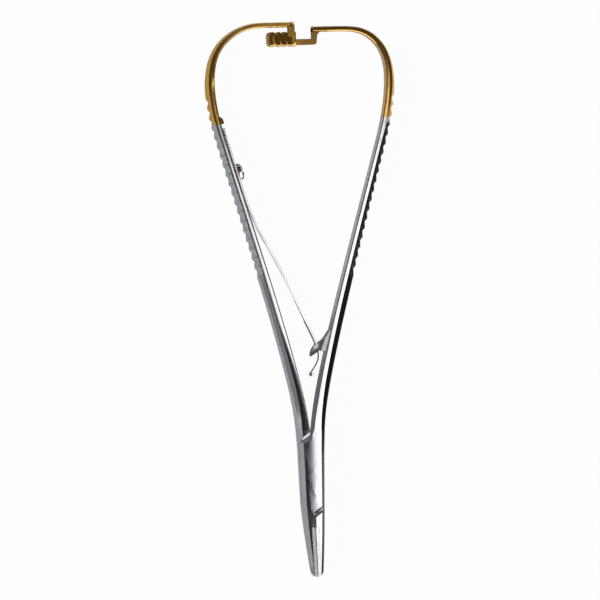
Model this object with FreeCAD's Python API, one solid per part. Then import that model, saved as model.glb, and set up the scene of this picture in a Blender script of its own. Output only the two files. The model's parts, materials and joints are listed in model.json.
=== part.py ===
import FreeCAD, Part
import os, math
from FreeCAD import Vector

os.makedirs("parts", exist_ok=True)

# Needle holder with bowed handles, a box joint, a leaf spring and a ratchet at the handle ends.
# It lies on the flat back of its box joint: z = 0 there, +Z runs along the joint pin and
# +Y from the pin towards the handle ends. Every length is in millimetres.

# box joint and jaws
box_depth = 6.8            # over both cheeks, along the pin
tongue_depth = 2.6         # middle layer, which belongs to the tongue arm
slide_gap = 0.1            # between the tongue and each cheek
pin_radius = 1.6
pin_play = 0.05            # radial clearance in the tongue
flat_half_length = 8.0     # the box is flat front and back this far up and down from the pin
joint_top = 14.5           # height where both arms leave the joint block
jaw_reach = 30.4           # pin axis to jaw tip
nose_radius = 2.6          # rounding of the jaw tips seen from the front
crown_slope = 0.15         # how steeply the front of joint and arms falls away at its long edges
shoulder_angle = 36.0      # slope of both shoulder lines
upper_shoulder = 13.3      # height where the upper shoulder line crosses the middle
lower_shoulder = -11.1     # height where the lower one does
shoulder_gap = 0.2
scoop_radius = 1.9         # hollow cut into the tongue arm's shoulders
upper_bevel = 1.05         # width of the flat bevel on the cheek's upper edge
lower_bevel = 0.7
wall_foot = 6.6            # how far the slot's slanted end walls run down the block
slot_gap = 0.25
relief_gap = 0.3           # from the parting plane to each jaw behind the inserts
bite_gap = 0.05            # from the parting plane to each insert
insert_length = 15.2
insert_thickness = 1.25

# bowed handle arms
neck_gap = 0.6             # from the middle plane to each arm's inner wall at the joint
neck_width = 4.5           # from the middle plane to each arm's outer side there
neck_flat = 3.0            # where the rounding of the outer side starts there
neck_depth = 6.4
edge_bevel = 0.3           # small bevel along the inner wall
crown_run = 12.0           # length over which the joint's crown turns into the arm's
bow_half_width = 26.75     # middle plane to inner wall at the widest place
bow_height = 121.0
bar_thickness = 1.8        # both top bars
bar_depth = 4.1
bow_rise = 15.5            # from the widest place up to the box arm's top bar
bar_step = 1.6             # how much higher the tongue arm's top bar lies
box_bar_y = bow_height + bow_rise
tongue_bar_y = box_bar_y + bar_step
bar_start = 10.8           # where both top bars begin to run straight
tongue_bar_end = 1.7       # how far the tongue arm's bar stays from the middle plane
box_bar_end = 4.3

# grip ridges
ridge_count = 19
ridge_pitch = 2.97
ridge_first = 49.5         # along the inner wall, counted from the joint block
ridge_slope = 1.87         # length of the gentle side of a ridge
ridge_height = 0.55

# ratchet
catch_radius = 2.3
catch_axis_y = box_bar_y - 2.05
catch_left = -9.9
catch_right = -1.1
tooth_pitch = 2.2
tooth_depth = 0.45
tooth_land = 0.75
tooth_drop = 0.2
pawl_clearance = 0.18
pawl_drop = 2.9            # how far the pawl hangs below its bar
pawl_front = 3.6           # how far the pawl stands in front of the middle layer
neck_bar = 1.8             # thickness of the thin bar that carries the ratchet
riser_width = 0.95

# leaf spring, its screw and its eye
leaf_thickness = 0.6
leaf_width = 4.0
leaf_tip_width = 2.4
leaf_seat = 0.03
leaf_top = 107.6           # height of its upper end
leaf_leave = 90.0          # height where it leaves the arm
leaf_eye_x = 2.6           # where it enters the eye
leaf_eye_y = 41.0
roll_radius = 0.6
screw_y = 93.9
screw_play = 0.03          # around the shank and under the head
screw_head_radius = 2.55
screw_head_height = 1.6
screw_shank_radius = 1.1
screw_shank_length = 2.0
screw_slot = 0.6
stop_height = 2.3
stop_thickness = 1.25
eye_depth = 4.8
eye_play = 0.35            # from the leaf to each side of its eye

edge_rise = 0.42           # share of an outer side's height where its slant ends
edge_run = 0.27            # how far the side stands back there, as a share of that height
land_share = 0.4           # share of that height taken by the narrow outermost land
mid_z = box_depth / 2.0
slope = math.tan(math.radians(shoulder_angle))
left_side = Vector(1, 0, 0)


def prism(points, low, high):
    """A straight prism between two heights over a closed outline of plan points."""
    corners = [Vector(x, y, low) for x, y in points]
    return Part.Face(Part.makePolygon(corners + corners[:1])).extrude(Vector(0, 0, high - low))


def blend_list(rows, place):
    """Values between the rows of a short list, read off along straight lines."""
    if place <= rows[0][0]:
        return rows[0][1:]
    for first, second in zip(rows, rows[1:]):
        if place <= second[0]:
            share = (place - first[0]) / (second[0] - first[0])
            return [a + share * (b - a) for a, b in zip(first[1:], second[1:])]
    return rows[-1][1:]


def section_face(strips):
    """Flat face inside one section, given as control points strip by strip."""
    edges = []
    for points in strips:
        curve = Part.BezierCurve()
        curve.setPoles(points)
        edges.append(curve.toShape())
    return Part.Face(Part.Wire(edges))


def strip_surface(sections, places, strip):
    """Smooth surface along one strip of matching sections, with one place for each section."""
    grid = []
    for number in range(len(sections[0][strip])):
        line = Part.BSplineCurve()
        line.interpolate(Points=[section[strip][number] for section in sections], Parameters=places)
        grid.append(line.getPoles())
    order = len(grid) - 1
    surface = Part.BSplineSurface()
    surface.buildFromPolesMultsKnots(grid, [order + 1, order + 1], line.getMultiplicities(),
                                     [0.0, 1.0], line.getKnots(), False, False, order, line.Degree)
    return surface


def skin(sections, places, shape_patch=None):
    """Closed solid through matching sections; shape_patch may move each patch between two of them."""
    faces = [section_face(sections[0]), section_face(sections[-1])]
    for strip in range(len(sections[0])):
        surface = strip_surface(sections, places, strip)
        if shape_patch is None:
            faces.append(surface.toShape())
            continue
        for low, high in zip(places, places[1:]):
            patch = surface.copy()
            patch.segment(0.0, 1.0, low, high)
            shape_patch(patch, strip, low, high)
            faces.append(patch.toShape())
    shell = Part.makeShell(faces)
    shell.sewShape()
    solid = Part.makeSolid(shell)
    if solid.Volume < 0:
        solid.reverse()
    return solid


def crowned(at, start, end, top, reach, height):
    """Control points of a shallow crown that has its full slope at a distance of reach from its top."""
    def level(across):
        return height - crown_slope * (across - top) ** 2 / (2 * reach)
    middle = (start + end) / 2
    return [at(start, level(start)), at(middle, 2 * level(middle) - (level(start) + level(end)) / 2),
            at(end, level(end))]


def outer_side(at, flat, thick, front, back):
    """Strips of an outer side: a slant from the front, narrow lands round the edge, a slant to the back."""
    foot = edge_rise * front
    edge, land = thick - edge_run * foot, land_share * foot
    corners = [(flat, front), (edge, foot), (thick, land), (thick, -land), (edge, -foot), (flat, back)]
    return [[at(*first), at(*second)] for first, second in zip(corners, corners[1:])]


def block_section(y, half_width, flat_half, half_depth):
    """Section of the joint block: crowned front, flat back, both sides slanted and rounded."""
    def at(x, z):
        return Vector(x, y, mid_z + z)

    def mirrored(x, z):
        return at(-x, z)
    w, f, h = half_width, flat_half, half_depth
    front = crowned(at, -f, f, 0, f, h)
    edge = front[-1].z - mid_z
    return [front] + outer_side(at, f, w, edge, -h) + [[at(f, -h), at(-f, -h)]] + \
        [strip[::-1] for strip in outer_side(mirrored, f, w, edge, -h)[::-1]]


# height, half width, half of the flat front, half depth
jaw_form = [
    (-jaw_reach, 2.4, 1.3, 1.45),
    (-24.0, 2.9, 1.7, 2.1),
    (-17.0, 3.35, 2.1, 2.78),
    (-12.0, 3.58, 2.3, 3.21),
    (-9.6, 3.67, 2.39, mid_z - 0.04)]
box_form = [
    (-flat_half_length, 3.72, 2.43, mid_z),
    (flat_half_length, 4.15, 2.72, mid_z)]
neck_form = [
    (11.2, 4.3, 2.85, mid_z - 0.06),
    (joint_top, neck_width, neck_flat, neck_depth / 2)]


def joint_block():
    """Both jaws and both shoulders as one closed block before it is divided."""
    middle = (box_form[0][0] + box_form[1][0]) / 2
    half = [middle] + [(low + high) / 2 for low, high in zip(box_form[0][1:], box_form[1][1:])]
    body = None
    for rows in (jaw_form + box_form[:1], [box_form[0], half, box_form[1]], box_form[1:] + neck_form):
        piece = skin([block_section(*row) for row in rows], [row[0] for row in rows])
        body = piece if body is None else body.fuse(piece)
    reach = nose_radius - jaw_reach
    nose = Part.makeCylinder(nose_radius, box_depth, Vector(0, reach, 0))
    corner = Part.makeBox(20, nose_radius, box_depth, Vector(-10, -jaw_reach, 0))
    return body.cut(corner.cut(nose))


# shares of the way from the joint to the widest place: height, then width
wall_shares = [(0.0, 0.0), (0.056, 0.029), (0.146, 0.101), (0.254, 0.207), (0.380, 0.344),
               (0.596, 0.597), (0.798, 0.838), (0.892, 0.941), (1.0, 1.0)]
# shares of the way from the start of the top bar out to the widest place, and from there up
box_shoulder = [(0.984, 0.323), (0.890, 0.619), (0.696, 0.852), (0.464, 0.968), (0.232, 0.997)]
tongue_shoulder = [(0.972, 0.310), (0.878, 0.561), (0.696, 0.772), (0.464, 0.918), (0.232, 0.986)]


def arm_wall(shoulder, bar_y):
    """Inner wall of an arm in plan, from the joint up to where its top bar runs straight."""
    width, height = bow_half_width - neck_gap, bow_height - joint_top
    points = [(neck_gap + width * across, joint_top + height * up) for up, across in wall_shares]
    width, height = bow_half_width - bar_start, bar_y - bow_height
    points += [(bar_start + width * across, bow_height + height * up) for across, up in shoulder]
    points += [(bar_start, bar_y), (bar_start - 1.0, bar_y)]
    curve = Part.BSplineCurve()
    curve.interpolate([Vector(x, y, mid_z) for x, y in points])
    return curve


# distance along the wall, thickness, depth, width of the front
arm_form = [
    (0.0, neck_width - neck_gap, neck_depth, neck_flat - neck_gap),
    (5.0, 3.78, 6.1, 2.1),
    (15.0, 3.65, 5.6, 1.75),
    (40.0, 3.5, 5.0, 1.5),
    (70.0, 3.2, 4.8, 1.3),
    (97.0, 3.05, 4.6, 1.2),
    (110.0, 2.85, 4.45, 1.1),
    (121.0, 2.3, 4.3, 0.9),
    (130.0, bar_thickness, bar_depth, 0.75),
    (160.0, bar_thickness, bar_depth, 0.75)]


def frame_at(curve, along):
    """Point, direction and outward normal of a wall curve at a distance along it."""
    place = curve.parameterAtDistance(along, curve.FirstParameter)
    point = curve.value(place)
    ahead = curve.tangent(place)[0]
    return point, ahead, Vector(ahead.y, -ahead.x, 0)


def place_at(curve, height):
    """Distance along a wall curve at which it first reaches a height."""
    low, high = 0.0, curve.length()
    for _ in range(40):
        half = (low + high) / 2
        low, high = (half, high) if frame_at(curve, half)[0].y < height else (low, half)
    return half


def arm_section(curve, along):
    """Section of an arm: flat inner wall with small bevels and a rounded outer side."""
    thick, depth, flat = blend_list(arm_form, along)
    point, ahead, out = frame_at(curve, along)
    if along <= 0.0:
        out = Vector(1, 0, 0)
    if along >= curve.length() - 1e-6:
        out = Vector(0, 1, 0)
    h, c = depth / 2.0, edge_bevel * min(1.0, 0.15 + along / 10.0)
    share = min(along / crown_run, 1.0)
    top = (1 - share) * -neck_gap + share * (c + flat) / 2

    def at(u, z):
        return point + out * u + Vector(0, 0, z)
    front = crowned(at, c, flat, top, flat - top, h)
    near, far = front[0].z - mid_z, front[-1].z - mid_z
    return [[at(0, c - h), at(0, near - c)], [at(0, near - c), at(c, near)], front] + \
        outer_side(at, flat, thick, far, -h) + [[at(flat, -h), at(c, -h)], [at(c, -h), at(0, c - h)]]


def ridge_sink(along):
    """How far the outer side lies under the ridges' tops: a gentle fall, then a steep rise."""
    place = (along - ridge_first) % ridge_pitch
    if not ridge_first < along < ridge_first + ridge_count * ridge_pitch - 1e-6 or place < 1e-6:
        return 0.0
    return ridge_height * min(place / ridge_slope, (ridge_pitch - place) / (ridge_pitch - ridge_slope))


def bowed_arm(shoulder, bar_y, bar_end):
    """One arm with its ridges, as if it stood on the right of the middle plane."""
    curve = arm_wall(shoulder, bar_y)
    marks = [ridge_first * share for share in (0.0, 0.1, 0.25, 0.5, 0.75)]
    for number in range(ridge_count):
        start = ridge_first + number * ridge_pitch
        marks += [start, start + ridge_slope]
    last = ridge_first + ridge_count * ridge_pitch
    marks += [last + (curve.length() - last) * part / 6 for part in range(7)]
    sections = [arm_section(curve, mark) for mark in marks]
    # share of the ridges' depth that both edges of each strip of the outer side take
    weights = {3: (0.0, 1.0), 4: (1.0, 1.0), 5: (1.0, 1.0), 6: (1.0, 1.0), 7: (1.0, 0.0)}

    def add_ridges(patch, strip, low, high):
        if strip not in weights or ridge_sink((low + high) / 2) == 0.0:
            return
        for column in range(4):
            along = low + (high - low) * column / 3
            out = frame_at(curve, along)[2]
            sink = ridge_sink(low) + (ridge_sink(high) - ridge_sink(low)) * column / 3
            for row, weight in enumerate(weights[strip]):
                pole = patch.getPole(row + 1, column + 1)
                patch.setPole(row + 1, column + 1, pole - out * sink * weight)

    bar = section_face(sections[-1]).extrude(Vector(bar_end - bar_start + 1.0, 0, 0))
    return curve, skin(sections, marks, add_ridges).fuse(bar)


def shifted_line(height, shift):
    """Two points of a shoulder line, moved by shift square to it, up and to the left."""
    dx = -shift * math.sin(math.radians(shoulder_angle))
    dy = shift * math.cos(math.radians(shoulder_angle))
    return [(-8 + dx, height - 8 * slope + dy), (8 + dx, height + 8 * slope + dy)]


def along_shoulder(height, outline):
    """A prism along a shoulder line over an outline of (square distance, height) pairs."""
    angle = math.radians(shoulder_angle)
    across = Vector(-math.sin(angle), math.cos(angle), 0)
    start = Vector(-8, height - 8 * slope, 0)
    corners = [start + across * p + Vector(0, 0, z) for p, z in outline]
    run = Vector(math.cos(angle), math.sin(angle), 0) * (16 / math.cos(angle))
    return Part.Face(Part.makePolygon(corners + corners[:1])).extrude(run)


def shoulder_scoop(height, side):
    """Round hollows at the front and back of a shoulder of the tongue arm."""
    angle = math.radians(shoulder_angle)
    across = Vector(-math.sin(angle), math.cos(angle), 0)
    run = Vector(math.cos(angle), math.sin(angle), 0)
    cut = None
    for z in (box_depth + 0.35, -0.35):
        start = Vector(0, height, z) - run * 9 - across * (side * 0.75)
        drum = Part.makeCylinder(scoop_radius, 18, start, run)
        cut = drum if cut is None else cut.fuse(drum)
    return cut


def slot_outline(gap):
    """Plan of the slot through the box, or of the tongue when gap is above zero."""
    top, foot = (0.1, upper_shoulder), (4.0, upper_shoulder - wall_foot)
    dx, dy = foot[0] - top[0], foot[1] - top[1]
    length = math.hypot(dx, dy)
    nx, ny = dy / length * gap, -dx / length * gap
    reach = 2.0
    high = [(top[0] + nx, top[1] + ny), (foot[0] + dx * reach + nx, foot[1] + dy * reach + ny)]
    low_top, low_foot = (-0.1, lower_shoulder), (-4.0, lower_shoulder + wall_foot)
    low = [(low_top[0] - nx, low_top[1] - ny),
           (low_foot[0] - dx * reach - nx, low_foot[1] - dy * reach - ny)]
    return high, low


def through_pin(radius):
    """A cylinder on the pin's axis through the whole joint."""
    return Part.makeCylinder(radius, box_depth, Vector(0, 0, 0))


block = joint_block()
far_left, far_right = -12.0, 12.0
line_up = shifted_line(upper_shoulder, 0.0)
line_up_tongue = shifted_line(upper_shoulder, shoulder_gap)
line_low = shifted_line(lower_shoulder, 0.0)
line_low_tongue = shifted_line(lower_shoulder, -shoulder_gap)
slot_high, slot_low = slot_outline(0.0)
tongue_high, tongue_low = slot_outline(slot_gap)

# The box arm keeps both cheeks, the right handle and the left jaw.
over_line = prism([line_up[0], line_up[1], (8, 40), (-12, 40), (-12, line_up[0][1])], 0, box_depth)
under_line = prism([line_low[0], line_low[1], (12, line_low[1][1]), (12, -40), (-8, -40)], 0, box_depth)
neck_side = prism([(0.1, upper_shoulder), (neck_gap, joint_top), (neck_gap, 20), (12, 20), (12, 0),
                   (0.1, 0)], 0, box_depth)
left_jaw = prism([(-12, lower_shoulder + 8), (-0.1, lower_shoulder), (-relief_gap, lower_shoulder - 0.3),
                  (-relief_gap, -40), (-12, -40)], 0, box_depth)
cheeks = block.cut(over_line.cut(neck_side)).cut(under_line.cut(left_jaw))
slot = prism([(-14, 14), slot_high[0], slot_high[1], (14, -14), slot_low[0], slot_low[1]],
             mid_z - tongue_depth / 2 - slide_gap, mid_z + tongue_depth / 2 + slide_gap)
cheeks = cheeks.cut(slot).cut(through_pin(pin_radius))
for low_side in (False, True):
    for height, width in ((upper_shoulder, upper_bevel), (lower_shoulder, -lower_bevel)):
        z_edge, z_sink = (0, 0.7) if low_side else (box_depth, box_depth - 0.7)
        z_out = -1 if low_side else box_depth + 1
        bevel = along_shoulder(height, [(-width, z_edge), (0, z_sink), (width, z_sink), (width, z_out),
                                        (-width, z_out)])
        keep = neck_side if height > 0 else left_jaw
        cheeks = cheeks.cut(bevel.cut(keep))

# The tongue arm keeps the middle layer, the left handle and the right jaw.
upper_part = block.common(prism([line_up_tongue[0], line_up_tongue[1], (8, 40), (-12, 40),
                                 (-12, line_up_tongue[0][1])], 0, box_depth))
upper_part = upper_part.common(prism([(-12, 0), (-neck_gap, 0), (-neck_gap, 20), (-12, 20)], 0, box_depth))
lower_part = block.common(prism([line_low_tongue[0], line_low_tongue[1], (12, line_low_tongue[1][1]),
                                 (12, -40), (-8, -40)], 0, box_depth))
lower_part = lower_part.common(prism([(12, 0), (relief_gap, 0), (relief_gap, -40), (12, -40)],
                                     0, box_depth))
upper_part = upper_part.cut(shoulder_scoop(upper_shoulder, 1))
lower_part = lower_part.cut(shoulder_scoop(lower_shoulder, -1))
tongue = block.common(prism([(-14, joint_top - 0.4), (-neck_gap, joint_top - 0.4), tongue_high[0],
                             tongue_high[1], (14, -joint_top), (relief_gap, -joint_top), tongue_low[0],
                             tongue_low[1]], mid_z - tongue_depth / 2, mid_z + tongue_depth / 2))
middle = upper_part.fuse([tongue, lower_part]).cut(through_pin(pin_radius + pin_play))
joint_pin = through_pin(pin_radius).common(block)

# hard-metal inserts along the bite
insert_low, insert_high = -jaw_reach - 1, insert_length - jaw_reach
seat = Part.makeBox(2 * insert_thickness, insert_high - insert_low, box_depth,
                    Vector(-insert_thickness, insert_low, 0))
cheeks = cheeks.cut(seat)
middle = middle.cut(seat)
for side, node in ((-1, "box_insert"), (1, "tongue_insert")):
    low_x = -insert_thickness if side < 0 else bite_gap
    pad = Part.makeBox(insert_thickness - bite_gap, insert_high - insert_low, box_depth,
                       Vector(low_x, insert_low, 0))
    block.common(pad).exportStep("parts/%s.step" % node)

# The two arms; the tongue arm's is built on the right and mirrored.
box_curve, box_handle = bowed_arm(box_shoulder, box_bar_y, box_bar_end)
tongue_curve, tongue_handle = bowed_arm(tongue_shoulder, tongue_bar_y, tongue_bar_end)

# ratchet: thin bent bar and round grooved catch on the box arm
floor_y = catch_axis_y - 0.1
bar_low = floor_y - neck_bar
riser_right = box_bar_end + riser_width
bent = Part.Wire([
    Part.makeLine(Vector(box_bar_end, box_bar_y + 0.5, 0), Vector(box_bar_end, floor_y + 0.3, 0)),
    Part.Arc(Vector(box_bar_end, floor_y + 0.3, 0), Vector(box_bar_end - 0.09, floor_y + 0.09, 0),
             Vector(box_bar_end - 0.3, floor_y, 0)).toShape(),
    Part.makeLine(Vector(box_bar_end - 0.3, floor_y, 0), Vector(catch_right - 0.3, floor_y, 0)),
    Part.makeLine(Vector(catch_right - 0.3, floor_y, 0), Vector(catch_right - 0.3, bar_low, 0)),
    Part.makeLine(Vector(catch_right - 0.3, bar_low, 0), Vector(riser_right - 0.6, bar_low + 0.1, 0)),
    Part.Arc(Vector(riser_right - 0.6, bar_low + 0.1, 0), Vector(riser_right - 0.15, bar_low + 0.3, 0),
             Vector(riser_right, bar_low + 0.7, 0)).toShape(),
    Part.Arc(Vector(riser_right, bar_low + 0.7, 0), Vector(riser_right + 0.7, box_bar_y - 0.9, 0),
             Vector(riser_right + 3.0, box_bar_y, 0)).toShape(),
    Part.makeLine(Vector(riser_right + 3.0, box_bar_y, 0), Vector(riser_right + 3.0, box_bar_y + 0.5, 0)),
    Part.makeLine(Vector(riser_right + 3.0, box_bar_y + 0.5, 0), Vector(box_bar_end, box_bar_y + 0.5, 0))])
carrier = Part.Face(bent).extrude(Vector(0, 0, bar_depth - 0.1))
carrier.translate(Vector(0, 0, mid_z - (bar_depth - 0.1) / 2))

profile = [(catch_left, 0.0), (catch_left, catch_radius - 1.3), (catch_left + 0.35, catch_radius - 0.45),
           (catch_left + 1.1, catch_radius)]
for number in range(3):
    land_end = catch_left + 1.75 + number * tooth_pitch
    profile += [(land_end, catch_radius), (land_end + tooth_drop, catch_radius - tooth_depth),
                (land_end + tooth_pitch - tooth_land, catch_radius)]
profile += [(catch_right, catch_radius), (catch_right, 0.0)]
outline = [Vector(x, catch_axis_y + r, mid_z) for x, r in profile]
catch = Part.Face(Part.makePolygon(outline + outline[:1])).revolve(
    Vector(0, catch_axis_y, mid_z), Vector(1, 0, 0), 360)

# pawl on the tongue arm: hangs in front of the catch and clears it through the whole swing
pawl_profile = [(-tongue_bar_end, -bar_depth / 2), (-tongue_bar_end, pawl_front),
                (-tongue_bar_end - 0.8, pawl_front), (-tongue_bar_end - 2.0, catch_radius),
                (-tongue_bar_end - 1.3, -bar_depth / 2)]
corners = [Vector(x, tongue_bar_y - pawl_drop, mid_z + z) for x, z in pawl_profile]
pawl = Part.Face(Part.makePolygon(corners + corners[:1])).extrude(Vector(0, pawl_drop + 0.2, 0))
cap_profile = [(-0.1, -1.4), (bar_thickness - 0.5, -1.0), (bar_thickness - 0.1, 0.2),
               (bar_thickness - 0.2, 1.8), (bar_thickness - 0.6, pawl_front - 0.5),
               (bar_thickness - 1.1, pawl_front), (-0.1, pawl_front)]
corners = [Vector(-tongue_bar_end - 0.8, tongue_bar_y + y, mid_z + z) for y, z in cap_profile]
pawl = pawl.fuse(Part.Face(Part.makePolygon(corners + corners[:1])).extrude(Vector(0.8, 0, 0)))
swing_drop = 0.37
pawl = pawl.cut(Part.makeCylinder(catch_radius + pawl_clearance, 30,
                                  Vector(-20, catch_axis_y + swing_drop, mid_z), Vector(1, 0, 0)))
pawl = pawl.cut(Part.makeBox(30, 10, 2 * catch_radius,
                             Vector(-20, catch_axis_y - 9.6, mid_z - catch_radius)))

# eye for the leaf: a beak on the box arm's inner wall, falling away towards its tip
eye_top, eye_top_ahead, eye_top_out = frame_at(box_curve, place_at(box_curve, 47.6))
eye_root, eye_root_ahead, eye_root_out = frame_at(box_curve, place_at(box_curve, 38.3))
start, root = eye_top + eye_top_out * 0.25, eye_root + eye_root_out * 0.3
start.z, root.z = 0, 0
tip, heel = Vector(0.72, 37.1, 0), Vector(3.6, 39.0, 0)
upper_edge = Part.BSplineCurve()
upper_edge.interpolate(Points=[start, Vector(5.75, 43.5, 0), Vector(4.7, 42.3, 0), Vector(2.9, 41.2, 0),
                               Vector(1.6, 40.0, 0), Vector(0.8, 38.5, 0), tip],
                       InitialTangent=eye_top_ahead * -1, FinalTangent=Vector(0.1, -1, 0))
inside = [start + eye_top_out * 1.2, root + eye_root_out * 1.2]
beak_face = Part.Face(Part.Wire([
    upper_edge.toShape(), Part.makeLine(tip, heel), Part.makeLine(heel, root),
    Part.makeLine(root, inside[1]), Part.makeLine(inside[1], inside[0]), Part.makeLine(inside[0], start)]))
beak = beak_face.extrude(Vector(0, 0, eye_depth))
beak.translate(Vector(0, 0, mid_z - eye_depth / 2))
fall_start, fall_end = Vector(5.3, 42.9, 0), Vector(3.7, 38.9, 0)
fall_run = (fall_end - fall_start).normalize()
fall_across = Vector(fall_run.y, -fall_run.x, 0)
for sign in (-1, 1):
    base = fall_start - fall_run * 4
    level = mid_z + sign * eye_depth / 2
    far = base - fall_across * 6
    corners = [base + Vector(0, 0, level), far + Vector(0, 0, level - sign * 1.5),
               far + Vector(0, 0, level + sign * 3), base + Vector(0, 0, level + sign * 3)]
    beak = beak.cut(Part.Face(Part.makePolygon(corners + corners[:1])).extrude(fall_run * 14))

# leaf spring: seated on the tongue arm's wall, then free across the palm gap to the eye
seat_points = []
for height in (leaf_top, 102.0, 96.5, leaf_leave):
    point, ahead, out = frame_at(tongue_curve, place_at(tongue_curve, height))
    place = point - out * (leaf_seat + leaf_thickness / 2)
    seat_points.append((-place.x, place.y))
leave, eye_in = Vector(*seat_points[-1], 0), Vector(leaf_eye_x, leaf_eye_y, 0)
run = eye_in - leave
bulge = Vector(run.y, -run.x, 0).normalize()
free = [leave + run * share + bulge * rise for share, rise in ((0.208, 1.16), (0.475, 0.42), (0.857, 0.0))]
tail = [eye_in + Vector(x, y, 0)
        for x, y in ((0.0, 0.0), (0.8, -2.6), (0.85, -4.4), (0.0, -6.5), (-1.65, -8.9))]
leaf_line = Part.BSplineCurve()
leaf_line.interpolate([Vector(x, y, 0) for x, y in seat_points] + free + tail)
leaf_length = leaf_line.length()
leaf_marks = [leaf_length * share for share in (0.0, 0.12, 0.21, 0.33, 0.48, 0.65, 0.82)]
leaf_marks += [leaf_length - rest for rest in (12.0, 9.6, 7.8, 6.2, 4.6, 3.0, 1.5, 0.0)]
taper = [(0.0, leaf_width), (leaf_length - 45.0, leaf_width), (leaf_length - 14.0, leaf_tip_width),
         (leaf_length, leaf_tip_width)]
leaf_sections = []
for mark in leaf_marks:
    point, ahead, out = frame_at(leaf_line, mark)
    side, rise = out * (leaf_thickness / 2), Vector(0, 0, blend_list(taper, mark)[0] / 2)
    corners = [point + side + rise, point - side + rise, point - side - rise, point + side - rise]
    leaf_sections.append([[corner + Vector(0, 0, mid_z), after + Vector(0, 0, mid_z)]
                          for corner, after in zip(corners, corners[1:] + corners[:1])])
leaf = skin(leaf_sections, leaf_marks)
leaf = leaf.fuse(Part.makeCylinder(roll_radius, leaf_tip_width,
                                   tail[-1] + Vector(0, -0.45, mid_z - leaf_tip_width / 2)))

# the slot of the eye follows the leaf where it passes through the beak
eye_centre = eye_in + Vector(0.25, -0.8, mid_z)
eye_run = (tail[1] - eye_in).normalize()
eye_side = Vector(-eye_run.y, eye_run.x, 0)
half_eye = leaf_thickness / 2 + eye_play
corners = [eye_centre + eye_run * a + eye_side * b - Vector(0, 0, leaf_tip_width / 2 + eye_play)
           for a, b in ((-3, -half_eye), (3, -half_eye), (3, half_eye), (-3, half_eye))]
beak = beak.cut(Part.Face(Part.makePolygon(corners + corners[:1])).extrude(
    Vector(0, 0, leaf_tip_width + 2 * eye_play)))

# screw that clamps the leaf
point, ahead, out = frame_at(tongue_curve, place_at(tongue_curve, screw_y))
foot, out, ahead = Vector(-point.x, point.y, mid_z), Vector(-out.x, out.y, 0), Vector(-ahead.x, ahead.y, 0)
inward = out * -1
head_base = foot + inward * (leaf_seat + leaf_thickness + screw_play)
across = out.cross(Vector(0, 0, 1))
dome = [(1.0, 0.0), (0.96, 0.45), (0.8, 0.75), (0.48, 0.94), (0.0, 1.0)]
rim = [head_base + across * (r * screw_head_radius) + inward * (h * screw_head_height) for r, h in dome]
screw = Part.Face(Part.makePolygon([head_base] + rim + [head_base])).revolve(head_base, inward, 360)
slot_base = head_base + inward * (screw_head_height - 0.6)
corners = [slot_base - ahead * 4 + Vector(0, 0, z) for z in (-screw_slot / 2, screw_slot / 2)]
corners += [slot_base + ahead * 4 + Vector(0, 0, z) for z in (screw_slot / 2, -screw_slot / 2)]
screw = screw.cut(Part.Face(Part.makePolygon(corners + corners[:1])).extrude(inward * 3))
shank = Part.makeCylinder(screw_shank_radius, leaf_seat + leaf_thickness + screw_play + screw_shank_length,
                          foot + out * screw_shank_length, inward)
screw = screw.fuse(shank)
bore = Part.makeCylinder(screw_shank_radius, screw_shank_length, foot + out * screw_shank_length, inward)
leaf = leaf.cut(Part.makeCylinder(screw_shank_radius + screw_play, 3, foot - inward, inward))

# stop above the leaf's upper end
point, ahead, out = frame_at(tongue_curve, place_at(tongue_curve, leaf_top + 0.25))
corners = [point + out * a + ahead * b + Vector(0, 0, -leaf_width / 2) for a, b in
           ((0.6, 0), (-stop_thickness, 0), (-stop_thickness, stop_height * 0.6),
            (-stop_thickness * 0.5, stop_height), (0.6, stop_height))]
stop = Part.Face(Part.makePolygon(corners + corners[:1])).extrude(Vector(0, 0, leaf_width))

box_arm = cheeks.fuse([box_handle, carrier, catch, beak]).removeSplitter()
tongue_handle = tongue_handle.fuse(stop).mirror(Vector(0, 0, 0), left_side)
tongue_arm = middle.fuse([tongue_handle, pawl]).cut(bore).removeSplitter()

for node, shape in (("box_arm", box_arm), ("tongue_arm", tongue_arm), ("joint_pin", joint_pin),
                    ("leaf_spring", leaf), ("spring_screw", screw)):
    print(node, "solids", len(shape.Solids), "faces", len(shape.Faces), "valid", shape.isValid(),
          "volume", round(shape.Volume, 1), shape.BoundBox)
    shape.exportStep("parts/%s.step" % node)
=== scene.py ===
"""Needle holder with bowed gold-ended handles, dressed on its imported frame."""
import json
import logging
import math
from collections.abc import Callable
from dataclasses import dataclass, replace
from enum import Enum

import bmesh
import bpy
import numpy as np
from mathutils import Matrix

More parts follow.
